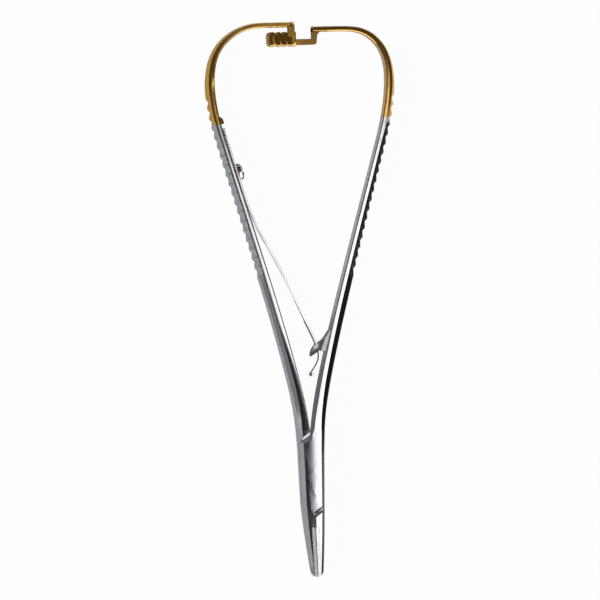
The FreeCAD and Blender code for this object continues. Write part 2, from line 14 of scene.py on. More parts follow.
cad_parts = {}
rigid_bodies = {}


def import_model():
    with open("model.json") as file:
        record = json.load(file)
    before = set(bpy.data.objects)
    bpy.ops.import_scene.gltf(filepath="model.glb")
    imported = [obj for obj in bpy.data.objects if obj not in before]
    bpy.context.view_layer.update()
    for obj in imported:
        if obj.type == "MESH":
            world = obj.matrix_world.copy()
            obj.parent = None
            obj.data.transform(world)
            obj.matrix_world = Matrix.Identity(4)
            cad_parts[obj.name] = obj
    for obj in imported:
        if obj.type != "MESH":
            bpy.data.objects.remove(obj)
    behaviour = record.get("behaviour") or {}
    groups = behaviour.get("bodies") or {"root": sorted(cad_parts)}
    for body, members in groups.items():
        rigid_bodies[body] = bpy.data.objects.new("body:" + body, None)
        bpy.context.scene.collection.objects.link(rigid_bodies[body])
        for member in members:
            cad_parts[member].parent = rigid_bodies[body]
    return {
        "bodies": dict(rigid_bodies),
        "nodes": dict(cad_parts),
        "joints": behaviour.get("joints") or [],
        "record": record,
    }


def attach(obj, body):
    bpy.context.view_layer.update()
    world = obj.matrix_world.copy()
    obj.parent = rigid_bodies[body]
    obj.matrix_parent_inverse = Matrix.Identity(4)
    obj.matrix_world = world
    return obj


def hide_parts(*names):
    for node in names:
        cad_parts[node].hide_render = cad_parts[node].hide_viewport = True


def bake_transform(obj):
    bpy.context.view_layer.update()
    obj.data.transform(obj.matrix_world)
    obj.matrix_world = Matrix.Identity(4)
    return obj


MM = 0.001
MID_Z = 3.4
CUT_PLAY = 0.02  # millimetres by which a piece is cut off inside the wall
BOX_BODY = "box_half"
TONGUE_BODY = "tongue_half"
# The jaws' taper and lean, in millimetres: where each starts, the taper's run, and the shares.
JAW_TAPER_START, JAW_TAPER_RUN, JAW_TAPER = -5.0, 25.4, 0.21
JAW_LEAN_START, JAW_LEAN = -9.0, 0.039
Array = np.ndarray
Colour = tuple[float, float, float]
Plan = tuple[tuple[float, float], ...]
log = logging.getLogger("needle_holder")


class Side(Enum):
    """Which side of the middle plane an arm stands on."""
    LEFT = -1
    RIGHT = 1


class Lay(Enum):
    """What a finish's grinding marks follow."""
    PLACE = "object"
    PIECE = "lay"


# ---- curves and surfaces


def smooth_path(points: Array, places: Array | None = None,
                spacing: float = 0.05) -> tuple[Array, Array, Array]:
    """A cubic spline through the points with free ends, its knots a chord apart.

    Between two knots the curve is the straight chord plus a cubic term of both ends' bends,
    and the bends solve the usual system in which neighbouring slopes agree.

    Args:
        points: Points to pass through, one row each.
        places: Distances along the curve to read off, or None for even ones.
        spacing: Step between even distances.

    Returns:
        The distances, the points there and the unit directions there.
    """
    gaps = np.linalg.norm(np.diff(points, axis=0), axis=1)
    knots = np.concatenate([[0.0], np.cumsum(gaps)])
    count = len(points)
    inner = np.arange(1, count - 1)
    system = np.eye(count)
    system[inner, inner - 1] = gaps[:-1]
    system[inner, inner] = 2 * (gaps[:-1] + gaps[1:])
    system[inner, inner + 1] = gaps[1:]
    right = np.zeros_like(points)
    right[1:-1] = 6 * np.diff(np.diff(points, axis=0) / gaps[:, None], axis=0)
    bends = np.linalg.solve(system, right)
    fine = np.linspace(0.0, knots[-1], 6001)
    cell = np.clip(np.searchsorted(knots, fine, side="right") - 1, 0, count - 2)
    gap = gaps[cell][:, None]
    before = (knots[cell + 1] - fine)[:, None] / gap
    after = 1 - before
    curve = before * points[cell] + after * points[cell + 1] + gap ** 2 / 6 * (
        (before ** 3 - before) * bends[cell] + (after ** 3 - after) * bends[cell + 1])
    run = np.concatenate([[0.0], np.cumsum(np.linalg.norm(np.diff(curve, axis=0), axis=1))])
    ahead = np.gradient(curve, run, axis=0)
    if places is None:
        places = np.linspace(0.0, run[-1], int(run[-1] / spacing) + 2)
    place = np.stack([np.interp(places, run, column) for column in curve.T], axis=1)
    ahead = np.stack([np.interp(places, run, column) for column in ahead.T], axis=1)
    return places, place, ahead / np.linalg.norm(ahead, axis=1, keepdims=True)


def parabola(start: Array, corner: Array, end: Array, t: Array) -> Array:
    """Points at the shares t of the parabola from start to end whose tangents meet at the corner."""
    return (1 - t) ** 2 * start + 2 * t * (1 - t) * corner + t ** 2 * end


def round_corners(corners: Array, before: Array, after: Array, steps: list[int], guard: float) -> Array:
    """Closed outlines whose corners become parabolas.

    Each parabola runs from A to B, which lie on the corner's two sides at the given distances, and
    a guard point beyond each keeps the flat sides flat when shaded.

    Args:
        corners: Corner places, shaped (outlines, corners, 2).
        before: Distance of A from each corner, shaped (outlines, corners).
        after: Distance of B from each corner.
        steps: How many pieces each parabola has.
        guard: Distance from A and B to the guard points.

    Returns:
        Outline points, shaped (outlines, points, 2).
    """
    back = np.roll(corners, 1, axis=1) - corners
    ahead = np.roll(corners, -1, axis=1) - corners
    back /= np.linalg.norm(back, axis=2, keepdims=True)
    ahead /= np.linalg.norm(ahead, axis=2, keepdims=True)
    start, end = corners + back * before[..., None], corners + ahead * after[..., None]
    parts = []
    for number, count in enumerate(steps):
        t = np.linspace(0.0, 1.0, count + 1)[None, :, None]
        a, c, b = (rows[:, number, None, :] for rows in (start, corners, end))
        parts += [a + back[:, number, None, :] * guard, parabola(a, c, b, t),
                  b + ahead[:, number, None, :] * guard]
    return np.concatenate(parts, axis=1)


def sweep(point: Array, side: Array, outline: Array) -> Array:
    """Rings of a section carried along a curve in plan.

    Args:
        point: Places on the curve, shaped (rings, 2).
        side: Unit directions across it there.
        outline: Section points (across, height over the middle plane), shaped (rings, points, 2).

    Returns:
        The rings, shaped (rings, points, 3).
    """
    across = point[:, None] + side[:, None] * outline[..., :1]
    return np.concatenate([across, outline[..., 1:] + MID_Z], axis=2)


def tube_faces(rings: int, around: int, flip: bool) -> list[list[int]]:
    """Quads between closed rings, and one cap at each end.

    Args:
        rings: How many rings there are.
        around: Points in each ring.
        flip: True turns every face over.

    Returns:
        Vertex numbers of each face.
    """
    ring = np.arange(rings - 1)[:, None] * around
    here = np.arange(around)[None, :]
    after = (here + 1) % around
    quads = np.stack([ring + here, ring + after, ring + around + after, ring + around + here], axis=2)
    quads = quads.reshape(-1, 4)
    first, last = np.arange(around)[::-1], np.arange(around) + (rings - 1) * around
    if flip:
        quads, first, last = quads[:, ::-1], first[::-1], last[::-1]
    return quads.tolist() + [first.tolist(), last.tolist()]


def link_object(name: str, data: bpy.types.ID) -> bpy.types.Object:
    """A new object at the origin, linked to the scene."""
    made = bpy.data.objects.new(name, data)
    bpy.context.scene.collection.objects.link(made)
    return made


def shade_smooth(mesh: bpy.types.Mesh, sharp: float) -> None:
    """Shades every face smooth and marks edges that turn by more than sharp degrees."""
    mesh.polygons.foreach_set("use_smooth", np.ones(len(mesh.polygons), bool))
    mesh.set_sharp_from_angle(angle=math.radians(sharp))


def make_piece(name: str, places: Array, faces: list[list[int]], lay: Array | None = None,
               masks: dict[str, Array] | None = None) -> bpy.types.Object:
    """Puts a worked-out surface into a mesh object.

    Args:
        name: Name of the piece.
        places: Vertex places in millimetres, shaped (count, 3).
        faces: Vertex numbers of each face.
        lay: Coordinates that follow the surface, in millimetres, or None for the places.
        masks: Further values per vertex, by name.

    Returns:
        The new object, smooth shaded, at the origin.
    """
    mesh = bpy.data.meshes.new(name)
    mesh.from_pydata((places * MM).tolist(), [], faces)
    follow = mesh.attributes.new(Lay.PIECE.value, "FLOAT_VECTOR", "POINT")
    follow.data.foreach_set("vector", ((places if lay is None else lay) * MM).astype(np.float32).ravel())
    for key, values in (masks or {}).items():
        mesh.attributes.new(key, "FLOAT", "POINT").data.foreach_set("value", values.astype(np.float32))
    mesh.update()
    shade_smooth(mesh, sharp=50.0)
    return link_object(name, mesh)


def lathe(name: str, profile: Array, origin: Array, axis: Array, around: int = 64) -> bpy.types.Object:
    """A closed body of revolution: each profile point (along, radius) is carried round the axis.

    Args:
        name: Name of the piece.
        profile: Points (distance along the axis, radius), both ends on the axis.
        origin: Where the axis starts.
        axis: Unit direction of the axis.
        around: Points in each ring.

    Returns:
        The new piece.
    """
    across = np.cross(axis, [0.0, 0.0, 1.0])
    across /= np.linalg.norm(across)
    up = np.cross(across, axis)
    turn = np.linspace(0.0, 2 * math.pi, around, endpoint=False)
    spoke = np.cos(turn)[:, None] * across + np.sin(turn)[:, None] * up
    rings = origin + profile[:, 0, None, None] * axis + profile[:, 1, None, None] * spoke[None]
    lay = np.stack(np.broadcast_arrays(profile[:, 0, None], turn[None] * profile[:, 1].max(), 0.0), axis=2)
    return make_piece(name, rings.reshape(-1, 3), tube_faces(len(profile), around, True), lay.reshape(-1, 3))


def soften_profile(points: Array, reach: float, steps: int = 4) -> Array:
    """An open profile with each inner corner turned into a parabola that starts reach before it.

    Args:
        points: Profile corners, shaped (count, 2).
        reach: Distance from a corner to its parabola's ends, at most 0.45 of each side.
        steps: Pieces of each parabola.

    Returns:
        The softened profile.
    """
    sides = np.diff(points, axis=0)
    lengths = np.linalg.norm(sides, axis=1)
    reaches = np.minimum(reach, 0.45 * lengths)[:, None]
    steps_ahead = sides / lengths[:, None] * reaches
    corner = points[1:-1]
    start, end = corner - steps_ahead[:-1], corner + steps_ahead[1:]
    t = np.linspace(0.0, 1.0, steps + 1)[None, :, None]
    arcs = parabola(start[:, None], corner[:, None], end[:, None], t)
    return np.concatenate([points[:1], arcs.reshape(-1, 2), points[-1:]])


def soften_edges(piece: bpy.types.Object, width: float, angle: float = 32.0, top: float = math.inf) -> None:
    """Adds a small rounding along every edge that turns by more than angle.

    Args:
        piece: The piece.
        width: Width of the rounding in millimetres.
        angle: Least turn of a rounded edge, in degrees.
        top: Height in millimetres at which the piece was cut off and stays sharp.
    """
    form = bmesh.new()
    form.from_mesh(piece.data)
    mark = form.edges.layers.float.new("bevel_weight_edge")
    for edge in form.edges:
        cut = min(vertex.co.y for vertex in edge.verts) > (top - 0.01) * MM
        edge[mark] = float(edge.is_manifold and not cut and edge.calc_face_angle(0.0) > math.radians(angle))
    form.to_mesh(piece.data)
    form.free()
    bevel = piece.modifiers.new("soft_edges", "BEVEL")
    bevel.width = width * MM
    bevel.segments = 3
    bevel.limit_method = "WEIGHT"
    bevel.harden_normals = True
    bevel.use_clamp_overlap = True


def slim_jaws(places: Array) -> Array:
    """Narrows the jaws towards their tip and lets them lean with their parting line.

    The width falls by a share that grows with the power 1.5 of the way to the tip, and the middle
    moves right by a fixed share of the way.

    Args:
        places: Places in millimetres, shaped (count, 3).

    Returns:
        The moved places.
    """
    way = np.clip((JAW_TAPER_START - places[:, 1]) / JAW_TAPER_RUN, 0.0, 1.0)
    lean = JAW_LEAN * np.clip(JAW_LEAN_START - places[:, 1], 0.0, None)
    moved = places.copy()
    moved[:, 0] = places[:, 0] * (1 - JAW_TAPER * way ** 1.5) + lean
    return moved


def cut_from_node(node: bpy.types.Object, name: str, wanted: Array,
                  reshape: Callable[[Array], Array] = slim_jaws, sharp: float = 28.0) -> bpy.types.Object:
    """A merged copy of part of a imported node, closed where it was cut off.

    Args:
        node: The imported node.
        name: Name of the new piece.
        wanted: True for each face that the copy keeps.
        reshape: Moves the copy's places, in millimetres.
        sharp: Turn in degrees past which an edge stays sharp.

    Returns:
        The new piece, with its corners still sharp.
    """
    mesh = bpy.data.meshes.new(name)
    form = bmesh.new()
    form.from_mesh(node.data)
    form.faces.ensure_lookup_table()
    unwanted = [form.faces[number] for number in np.flatnonzero(~wanted)]
    bmesh.ops.delete(form, geom=unwanted, context="FACES")
    bmesh.ops.remove_doubles(form, verts=form.verts, dist=0.002 * MM)
    bmesh.ops.dissolve_degenerate(form, edges=form.edges, dist=0.001 * MM)
    bmesh.ops.holes_fill(form, edges=[edge for edge in form.edges if edge.is_boundary], sides=0)
    bmesh.ops.dissolve_limit(form, angle_limit=math.radians(0.3), verts=form.verts, edges=form.edges)
    form.to_mesh(mesh)
    form.free()
    places = np.empty(len(mesh.vertices) * 3, np.float32)
    mesh.vertices.foreach_get("co", places)
    places = (reshape(places.reshape(-1, 3) / MM) * MM).astype(np.float32).ravel()
    mesh.vertices.foreach_set("co", places)
    mesh.attributes.new(Lay.PIECE.value, "FLOAT_VECTOR", "POINT").data.foreach_set("vector", places)
    shade_smooth(mesh, sharp)
    return link_object(name, mesh)


def face_centres(node: bpy.types.Object) -> Array:
    """Centre of each face of a node, in millimetres."""
    centres = np.empty(len(node.data.polygons) * 3)
    node.data.polygons.foreach_get("center", centres)
    return centres.reshape(-1, 3) / MM


def cut_joint(node: bpy.types.Object, name: str, top: float) -> bpy.types.Object:
    """One body's joint and jaw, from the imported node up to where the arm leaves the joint."""
    piece = cut_from_node(node, name, face_centres(node)[:, 1] < top - 0.001, sharp=11.0)
    soften_edges(piece, width=0.07, top=top)
    return piece


# ---- finishes


def new_group(name: str, inputs: dict[str, tuple[str, float]],
              outputs: dict[str, str]) -> bpy.types.NodeTree:
    """An empty shader node group with named sockets.

    Args:
        name: Name of the group.
        inputs: Socket type and starting value of each input, by name.
        outputs: Socket type of each output, by name.

    Returns:
        The group.
    """
    group = bpy.data.node_groups.new(name, "ShaderNodeTree")
    for key, (kind, value) in inputs.items():
        socket = group.interface.new_socket(name=key, in_out="INPUT", socket_type=kind)
        if kind == "NodeSocketFloat":
            socket.default_value = value
    for key, kind in outputs.items():
        group.interface.new_socket(name=key, in_out="OUTPUT", socket_type=kind)
    return group


class Bench:
    """Adds nodes to one tree and joins them, left to right."""

    def __init__(self, tree: bpy.types.NodeTree) -> None:
        """Keeps the tree that the nodes go into."""
        self.tree = tree
        self.count = 0

    def node(self, kind: str, settings: dict | None = None, **inputs: object) -> bpy.types.Node:
        """Adds a node.

        Args:
            kind: Blender's name of the node.
            settings: Values of the node's own properties.
            **inputs: What goes into each input, a value or another node's output; spaces are written _.

        Returns:
            The node.
        """
        made = self.tree.nodes.new(kind)
        made.location = (self.count * 180.0, -120.0 * (self.count % 3))
        self.count += 1
        for key, value in (settings or {}).items():
            setattr(made, key, value)
        for key, value in inputs.items():
            named = key.replace("_", " ")
            socket = made.inputs[int(key[1:])] if key[1:].isdigit() else made.inputs[named]
            if isinstance(value, bpy.types.NodeSocket):
                self.tree.links.new(value, socket)
            else:
                socket.default_value = value
        return made

    def math(self, operation: str, first: object, second: object = 0.0,
             third: float = 0.0) -> bpy.types.NodeSocket:
        """Output of a Math node of up to three values."""
        return self.node("ShaderNodeMath", {"operation": operation}, i0=first, i1=second, i2=third).outputs[0]

    def place(self) -> bpy.types.NodeSocket:
        """The object's own coordinates."""
        return self.node("ShaderNodeTexCoord").outputs["Object"]

    def part(self, vector: bpy.types.NodeSocket, letter: str) -> bpy.types.NodeSocket:
        """One part of a vector, X, Y or Z."""
        return self.node("ShaderNodeSeparateXYZ", Vector=vector).outputs[letter]

    def mix(self, share: object, first: object, second: object) -> bpy.types.NodeSocket:
        """Output of a colour mix."""
        made = self.node("ShaderNodeMix", {"data_type": "RGBA"}, i0=share)
        for socket, value in ((made.inputs[6], first), (made.inputs[7], second)):
            if isinstance(value, bpy.types.NodeSocket):
                self.tree.links.new(value, socket)
            else:
                socket.default_value = (*value, 1.0)
        return made.outputs[2]

    def ramp(self, value: bpy.types.NodeSocket, low: float, high: float) -> bpy.types.NodeSocket:
        """A smooth step from 0 at low to 1 at high."""
        return self.node("ShaderNodeMapRange", {"interpolation_type": "SMOOTHSTEP"}, Value=value,
                         From_Min=low, From_Max=high).outputs[0]


def grinding_marks_group() -> bpy.types.NodeTree:
    """Fine parallel grinding lines: noise drawn out along the first coordinate, with some deeper lines."""
    group = new_group("grinding_marks",
                      {"Lay": ("NodeSocketVector", 0.0), "Length": ("NodeSocketFloat", 60.0),
                       "Fineness": ("NodeSocketFloat", 3000.0)},
                      {"Height": "NodeSocketFloat", "Tone": "NodeSocketFloat"})
    bench = Bench(group)
    source = bench.node("NodeGroupInput")
    scale = bench.node("ShaderNodeCombineXYZ", X=source.outputs["Length"], Y=source.outputs["Fineness"],
                       Z=source.outputs["Fineness"])
    drawn = bench.node("ShaderNodeVectorMath", {"operation": "MULTIPLY"}, i0=source.outputs["Lay"],
                       i1=scale.outputs[0]).outputs[0]
    fine = bench.node("ShaderNodeTexNoise", Vector=drawn, Scale=1.0, Detail=3.0, Roughness=0.65).outputs[0]
    broad = bench.node("ShaderNodeTexNoise", Vector=drawn, Scale=0.23, Detail=2.0).outputs[0]
    deep = bench.ramp(broad, 0.62, 0.72)
    height = bench.math("SUBTRACT", fine, bench.math("MULTIPLY", deep, 0.5))
    sink = bench.node("NodeGroupOutput")
    group.links.new(height, sink.inputs["Height"])
    group.links.new(broad, sink.inputs["Tone"])
    return group


def handling_group() -> bpy.types.NodeTree:
    """Faint cloudy smears left by handling and washing."""
    group = new_group("handling", {"Place": ("NodeSocketVector", 0.0), "Size": ("NodeSocketFloat", 120.0)},
                      {"Smear": "NodeSocketFloat"})
    bench = Bench(group)
    source = bench.node("NodeGroupInput")
    cloud = bench.node("ShaderNodeTexNoise", Vector=source.outputs["Place"], Scale=source.outputs["Size"],
                       Detail=4.0, Distortion=0.6).outputs[0]
    sink = bench.node("NodeGroupOutput")
    group.links.new(bench.ramp(cloud, 0.35, 0.7), sink.inputs["Smear"])
    return group


class Effects:
    """The node groups that the finishes share, built once."""

    def __init__(self) -> None:
        """Builds the groups."""
        self.marks = grinding_marks_group()
        self.handling = handling_group()


STEEL, STEEL_TINT = (0.61, 0.61, 0.63), (0.49, 0.49, 0.52)
PLATING, PLATING_DEEP = (0.80, 0.49, 0.14), (0.60, 0.32, 0.07)
# Scales of the joint's crosswise grinding lines, per metre: along their run and across it.
CROSS_LENGTH, CROSS_FINENESS = 45.0, 5200.0


@dataclass(frozen=True)
class Finish:
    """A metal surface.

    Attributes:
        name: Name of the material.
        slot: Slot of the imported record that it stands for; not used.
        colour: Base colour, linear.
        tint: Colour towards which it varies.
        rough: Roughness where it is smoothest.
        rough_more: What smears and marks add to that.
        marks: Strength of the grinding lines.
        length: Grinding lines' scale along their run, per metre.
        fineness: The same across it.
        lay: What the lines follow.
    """
    name: str
    slot: str
    colour: Colour
    tint: Colour
    rough: float
    rough_more: float
    marks: float
    length: float = 60.0
    fineness: float = 3000.0
    lay: Lay = Lay.PLACE

    def coordinates(self, bench: Bench) -> bpy.types.NodeSocket:
        """The coordinates that the pattern reads."""
        if self.lay is Lay.PIECE:
            return bench.node("ShaderNodeAttribute", {"attribute_name": Lay.PIECE.value}).outputs["Vector"]
        return bench.place()

    def colours(self, bench: Bench, smear: bpy.types.NodeSocket, tone: bpy.types.NodeSocket) \
            -> tuple[bpy.types.NodeSocket, bpy.types.NodeSocket]:
        """Base colour and roughness over the surface.

        Args:
            bench: Where the nodes go.
            smear: Cloudy mask.
            tone: Slow change across the grinding lines.

        Returns:
            The colour and the roughness.
        """
        share = bench.math("MULTIPLY", bench.math("ADD", smear, tone), 0.5)
        rough = bench.math("MULTIPLY_ADD", share, self.rough_more, self.rough)
        return bench.mix(share, self.colour, self.tint), rough

    def grinding(self, bench: Bench, effects: Effects, place: bpy.types.NodeSocket) \
            -> tuple[bpy.types.NodeSocket, bpy.types.NodeSocket]:
        """Height and tone of the grinding lines.

        Args:
            bench: Where the nodes go.
            effects: The shared node groups.
            place: The coordinates that the pattern reads.

        Returns:
            The height and the tone.
        """
        marks = bench.node("ShaderNodeGroup", {"node_tree": effects.marks}, Lay=place, Length=self.length,
                           Fineness=self.fineness)
        return marks.outputs["Height"], marks.outputs["Tone"]

    def build(self, effects: Effects) -> bpy.types.Material:
        """Builds the material.

        Args:
            effects: The shared node groups.

        Returns:
            The material.
        """
        material = bpy.data.materials.new(self.name)
        material.use_nodes = True
        tree = material.node_tree
        tree.nodes.clear()
        bench = Bench(tree)
        place = self.coordinates(bench)
        handling = bench.node("ShaderNodeGroup", {"node_tree": effects.handling}, Place=place)
        height, tone = self.grinding(bench, effects, place)
        colour, rough = self.colours(bench, handling.outputs["Smear"], tone)
        relief = bench.node("ShaderNodeBump", Height=height, Strength=self.marks, Distance=0.02 * MM)
        shader = bench.node("ShaderNodeBsdfPrincipled", Base_Color=colour, Roughness=rough, Metallic=1.0,
                            Normal=relief.outputs[0])
        bench.node("ShaderNodeOutputMaterial", Surface=shader.outputs[0])
        return material


@dataclass(frozen=True)
class HandleFinish(Finish):
    """Steel that is satin on the ridged grip and plated with gold above a line.

    Attributes:
        gold: Base colour of the plating, linear.
        gold_deep: Colour of the plating where it is thin.
        gold_from: Height where the plating starts, in metres.
        gold_edge: Height over which it starts, in metres.
        gold_ragged: How far that line wanders, in metres.
        gold_shine: How much smoother the plating is than the steel.
        cross_start: Height where the joint's crosswise lines start to fade, in metres.
        cross_end: Height where they have gone, in metres.
        grip_rough: Roughness of the ridged grip.
        grip_colour: Base colour of the ridged grip.
    """
    gold: Colour = PLATING
    gold_deep: Colour = PLATING_DEEP
    gold_from: float = 0.1098
    gold_edge: float = 0.0003
    gold_ragged: float = 0.0004
    gold_shine: float = 0.04
    cross_start: float = 0.016
    cross_end: float = 0.036
    grip_rough: float = 0.3
    grip_colour: Colour = (0.50, 0.51, 0.53)

    def grinding(self, bench: Bench, effects: Effects, place: bpy.types.NodeSocket) \
            -> tuple[bpy.types.NodeSocket, bpy.types.NodeSocket]:
        """Lines along the handle that give way to the joint's crosswise ones towards the joint."""
        along = super().grinding(bench, effects, place)
        spot = bench.place()
        across = bench.node("ShaderNodeGroup", {"node_tree": effects.marks}, Lay=spot, Length=CROSS_LENGTH,
                            Fineness=CROSS_FINENESS)
        share = bench.ramp(bench.part(spot, "Y"), self.cross_start, self.cross_end)
        return (bench.mix(share, across.outputs["Height"], along[0]),
                bench.mix(share, across.outputs["Tone"], along[1]))

    def colours(self, bench: Bench, smear: bpy.types.NodeSocket, tone: bpy.types.NodeSocket) \
            -> tuple[bpy.types.NodeSocket, bpy.types.NodeSocket]:
        """Base colour and roughness: steel, the satin grip by its mask, and gold above its line."""
        steel, rough = super().colours(bench, smear, tone)
        grip = bench.node("ShaderNodeAttribute", {"attribute_name": "grip"}).outputs["Fac"]
        steel = bench.mix(grip, steel, self.grip_colour)
        more = bench.math("MULTIPLY", grip, self.grip_rough - self.rough)
        place = bench.place()
        height = bench.part(place, "Y")
        ragged = bench.node("ShaderNodeTexNoise", Vector=place, Scale=900.0, Detail=2.0).outputs[0]
        line = bench.math("ADD", height, bench.math("MULTIPLY", ragged, self.gold_ragged))
        plated = bench.ramp(line, self.gold_from, self.gold_from + self.gold_edge)
        gold = bench.mix(tone, self.gold, self.gold_deep)
        shine = bench.math("MULTIPLY", plated, -self.gold_shine)
        return bench.mix(plated, steel, gold), bench.math("ADD", bench.math("ADD", rough, more), shine)


JOINT = Finish("joint_steel", "polished_steel", STEEL, STEEL_TINT, rough=0.14, rough_more=0.1, marks=0.3,
               length=CROSS_LENGTH, fineness=CROSS_FINENESS)
BOX_HANDLE = HandleFinish("box_handle_steel", "polished_steel", STEEL, STEEL_TINT, rough=0.13,
                          rough_more=0.08, marks=0.09, length=24.0, lay=Lay.PIECE)
TONGUE_HANDLE = replace(BOX_HANDLE, name="tongue_handle_steel", slot="satin_steel", gold_from=0.1088)
BEAK = Finish("beak_satin_steel", "polished_steel", (0.55, 0.55, 0.56), (0.44, 0.44, 0.46),
              rough=0.32, rough_more=0.12, marks=0.4)
GOLD = Finish("gold_plating", "polished_steel", PLATING, PLATING_DEEP, rough=0.1, rough_more=0.1, marks=0.06,
              lay=Lay.PIECE)
HARD = Finish("hard_insert", "hard_metal", (0.56, 0.56, 0.57), (0.46, 0.46, 0.47),
              rough=0.2, rough_more=0.12, marks=0.3)
SPRING = Finish("spring_steel_finish", "spring_steel", (0.66, 0.66, 0.67), (0.52, 0.52, 0.54),
                rough=0.14, rough_more=0.1, marks=0.05, length=20.0, lay=Lay.PIECE)
SCREW = Finish("screw_steel_finish", "screw_steel", (0.66, 0.65, 0.65), (0.5, 0.5, 0.5),
               rough=0.07, rough_more=0.08, marks=0.06)
PIN = Finish("pin_steel_finish", "pin_steel", STEEL, STEEL_TINT, rough=0.17, rough_more=0.14, marks=0.35,
             length=CROSS_LENGTH, fineness=CROSS_FINENESS)
FINISHES = (BEAK, JOINT, BOX_HANDLE, TONGUE_HANDLE, GOLD, HARD, SPRING, SCREW, PIN)


def dress(piece: bpy.types.Object, material: bpy.types.Material, finish: Finish, body: str,
          *nodes: str) -> None:
    """Gives a new piece its material, its body and the nodes it stands for.

    Args:
        piece: The piece.
        material: Its material.
        finish: The finish that the material was built from.
        body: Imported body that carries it.
        *nodes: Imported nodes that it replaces.
    """
    piece.data.materials.clear()
    piece.data.materials.append(material)
    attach(piece, body)
    if nodes:
        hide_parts(*nodes)
    log.info("%s rides on %s with %s, %d faces", piece.name, body, finish.name, len(piece.data.polygons))


# ---- the two handles


@dataclass(frozen=True)
class Handle:
    """One bowed handle with its ridged grip, in millimetres.

    Attributes:
        side: Side of the middle plane.
        shoulder: Shares of the way out to the widest place and up to the top bar.
        bar_y: Inner side of the top bar.
        bar_end: Distance of the bar's end from the middle plane.
        crown_run: Distance over which the front's top moves to its place.
        crown_place: Where the top lies across the flat front, 0 at the wall and 1 outside.
        crown_slope: Slope of the front at its far edge.
        crown_end: Distance at which the front is flat again.
        flat_more: What the handle's middle stretch adds to the front's width.
        edge_rise: Height of a point on each outer slant, as a share of the front's height.
        edge_run: How far that point lies inside the full thickness, as a share of its height.
        ridge_slope: Length of a ridge's gentle side.
        ridge_wear: Half the stretch over which a ridge's corners are worn.
        least_side: Least width of the outer side's rounding.
        rise_shares: Shares of the way up to the widest place and out to it.
        sections: Distance from the joint, thickness, depth and width of the flat front, after the neck.
    """
    side: Side
    shoulder: Plan
    bar_y: float
    bar_end: float
    neck_gap: float = 0.6
    neck_width: float = 4.5
    neck_flat: float = 3.0
    neck_depth: float = 6.4
    joint_top: float = 14.5
    bow_half_width: float = 26.75
    bow_height: float = 121.0
    bar_start: float = 10.8
    bar_lead: float = 1.0
    edge_bevel: float = 0.3
    bevel_start: float = 0.15
    bevel_run: float = 10.0
    crown_run: float = 12.0
    crown_place: float = 0.5
    crown_slope: float = 0.15
    crown_end: float = 200.0
    crown_fade: float = 5.0
    flat_more: float = 0.0
    flat_more_start: float = 9.0
    flat_more_rise: float = 30.0
    flat_more_end: float = 104.0
    flat_more_fall: float = 10.0
    edge_rise: float = 0.42
    edge_run: float = 0.27
    ridge_count: int = 19
    ridge_pitch: float = 2.97
    ridge_first: float = 49.5
    ridge_slope: float = 1.87
    ridge_height: float = 0.55
    ridge_wear: float = 0.22
    ridge_step: float = 0.135
    least_side: float = 0.15
    edge_radius: float = 0.1
    edge_play: float = 0.03
    grip_fade: float = 2.0
    grip_edge: float = 0.12
    rise_shares: Plan = ((0.0, 0.0), (0.056, 0.029), (0.146, 0.101), (0.254, 0.207), (0.380, 0.344),
                         (0.596, 0.597), (0.798, 0.838), (0.892, 0.941), (1.0, 1.0))
    sections: tuple[tuple[float, float, float, float], ...] = (
        (5.0, 3.78, 6.1, 2.1), (15.0, 3.65, 5.6, 1.75), (40.0, 3.5, 5.0, 1.5), (70.0, 3.2, 4.8, 1.3),
        (92.0, 3.08, 4.65, 1.25), (101.0, 3.02, 4.6, 1.75), (110.0, 2.85, 4.45, 1.95), (121.0, 2.3, 4.3, 1.7),
        (130.0, 1.8, 4.1, 1.38), (160.0, 1.8, 4.1, 1.38))

    @property
    def ridge_last(self) -> float:
        """Distance at which the ridges end."""
        return self.ridge_first + self.ridge_count * self.ridge_pitch

    def wall_points(self) -> Array:
        """Points of the inner wall in plan, from the joint up and over to the top bar."""
        shares, over = np.array(self.rise_shares), np.array(self.shoulder)
        rise = np.stack([self.neck_gap + (self.bow_half_width - self.neck_gap) * shares[:, 1],
                         self.joint_top + (self.bow_height - self.joint_top) * shares[:, 0]], axis=1)
        over = np.stack([self.bar_start + (self.bow_half_width - self.bar_start) * over[:, 0],
                         self.bow_height + (self.bar_y - self.bow_height) * over[:, 1]], axis=1)
        end = np.array([(self.bar_start, self.bar_y), (self.bar_start - self.bar_lead, self.bar_y)])
        return np.concatenate([rise, over, end])

    def wall(self, places: Array | None = None) -> tuple[Array, Array, Array, Array]:
        """Distances, points, directions and outward normals of the inner wall, on the right side."""
        places, point, ahead = smooth_path(self.wall_points(), places)
        return places, point, ahead, np.stack([ahead[:, 1], -ahead[:, 0]], axis=1)

    def at_height(self, heights: Array) -> tuple[Array, Array, Array]:
        """Points, directions and outward normals where the wall reaches the heights."""
        places, point, _, _ = self.wall()
        rising = np.maximum.accumulate(point[:, 1])
        return self.wall(np.interp(heights, rising, places))[1:]

    def sink(self, along: Array) -> Array:
        """Depth under the ridges' tops: a gentle fall and a steep rise in turn."""
        place = np.mod(along - self.ridge_first, self.ridge_pitch)
        steep = self.ridge_pitch - self.ridge_slope
        saw = np.minimum(place / self.ridge_slope, (self.ridge_pitch - place) / steep)
        inside = (along > self.ridge_first) & (along < self.ridge_last)
        return np.where(inside, self.ridge_height * saw, 0.0)

    def worn_sink(self, along: Array) -> Array:
        """The ridges' depth averaged over a short stretch either side, which wears their corners round."""
        shifts = np.linspace(-self.ridge_wear, self.ridge_wear, 9)[:, None]
        return self.sink(along[None] + shifts).mean(axis=0)

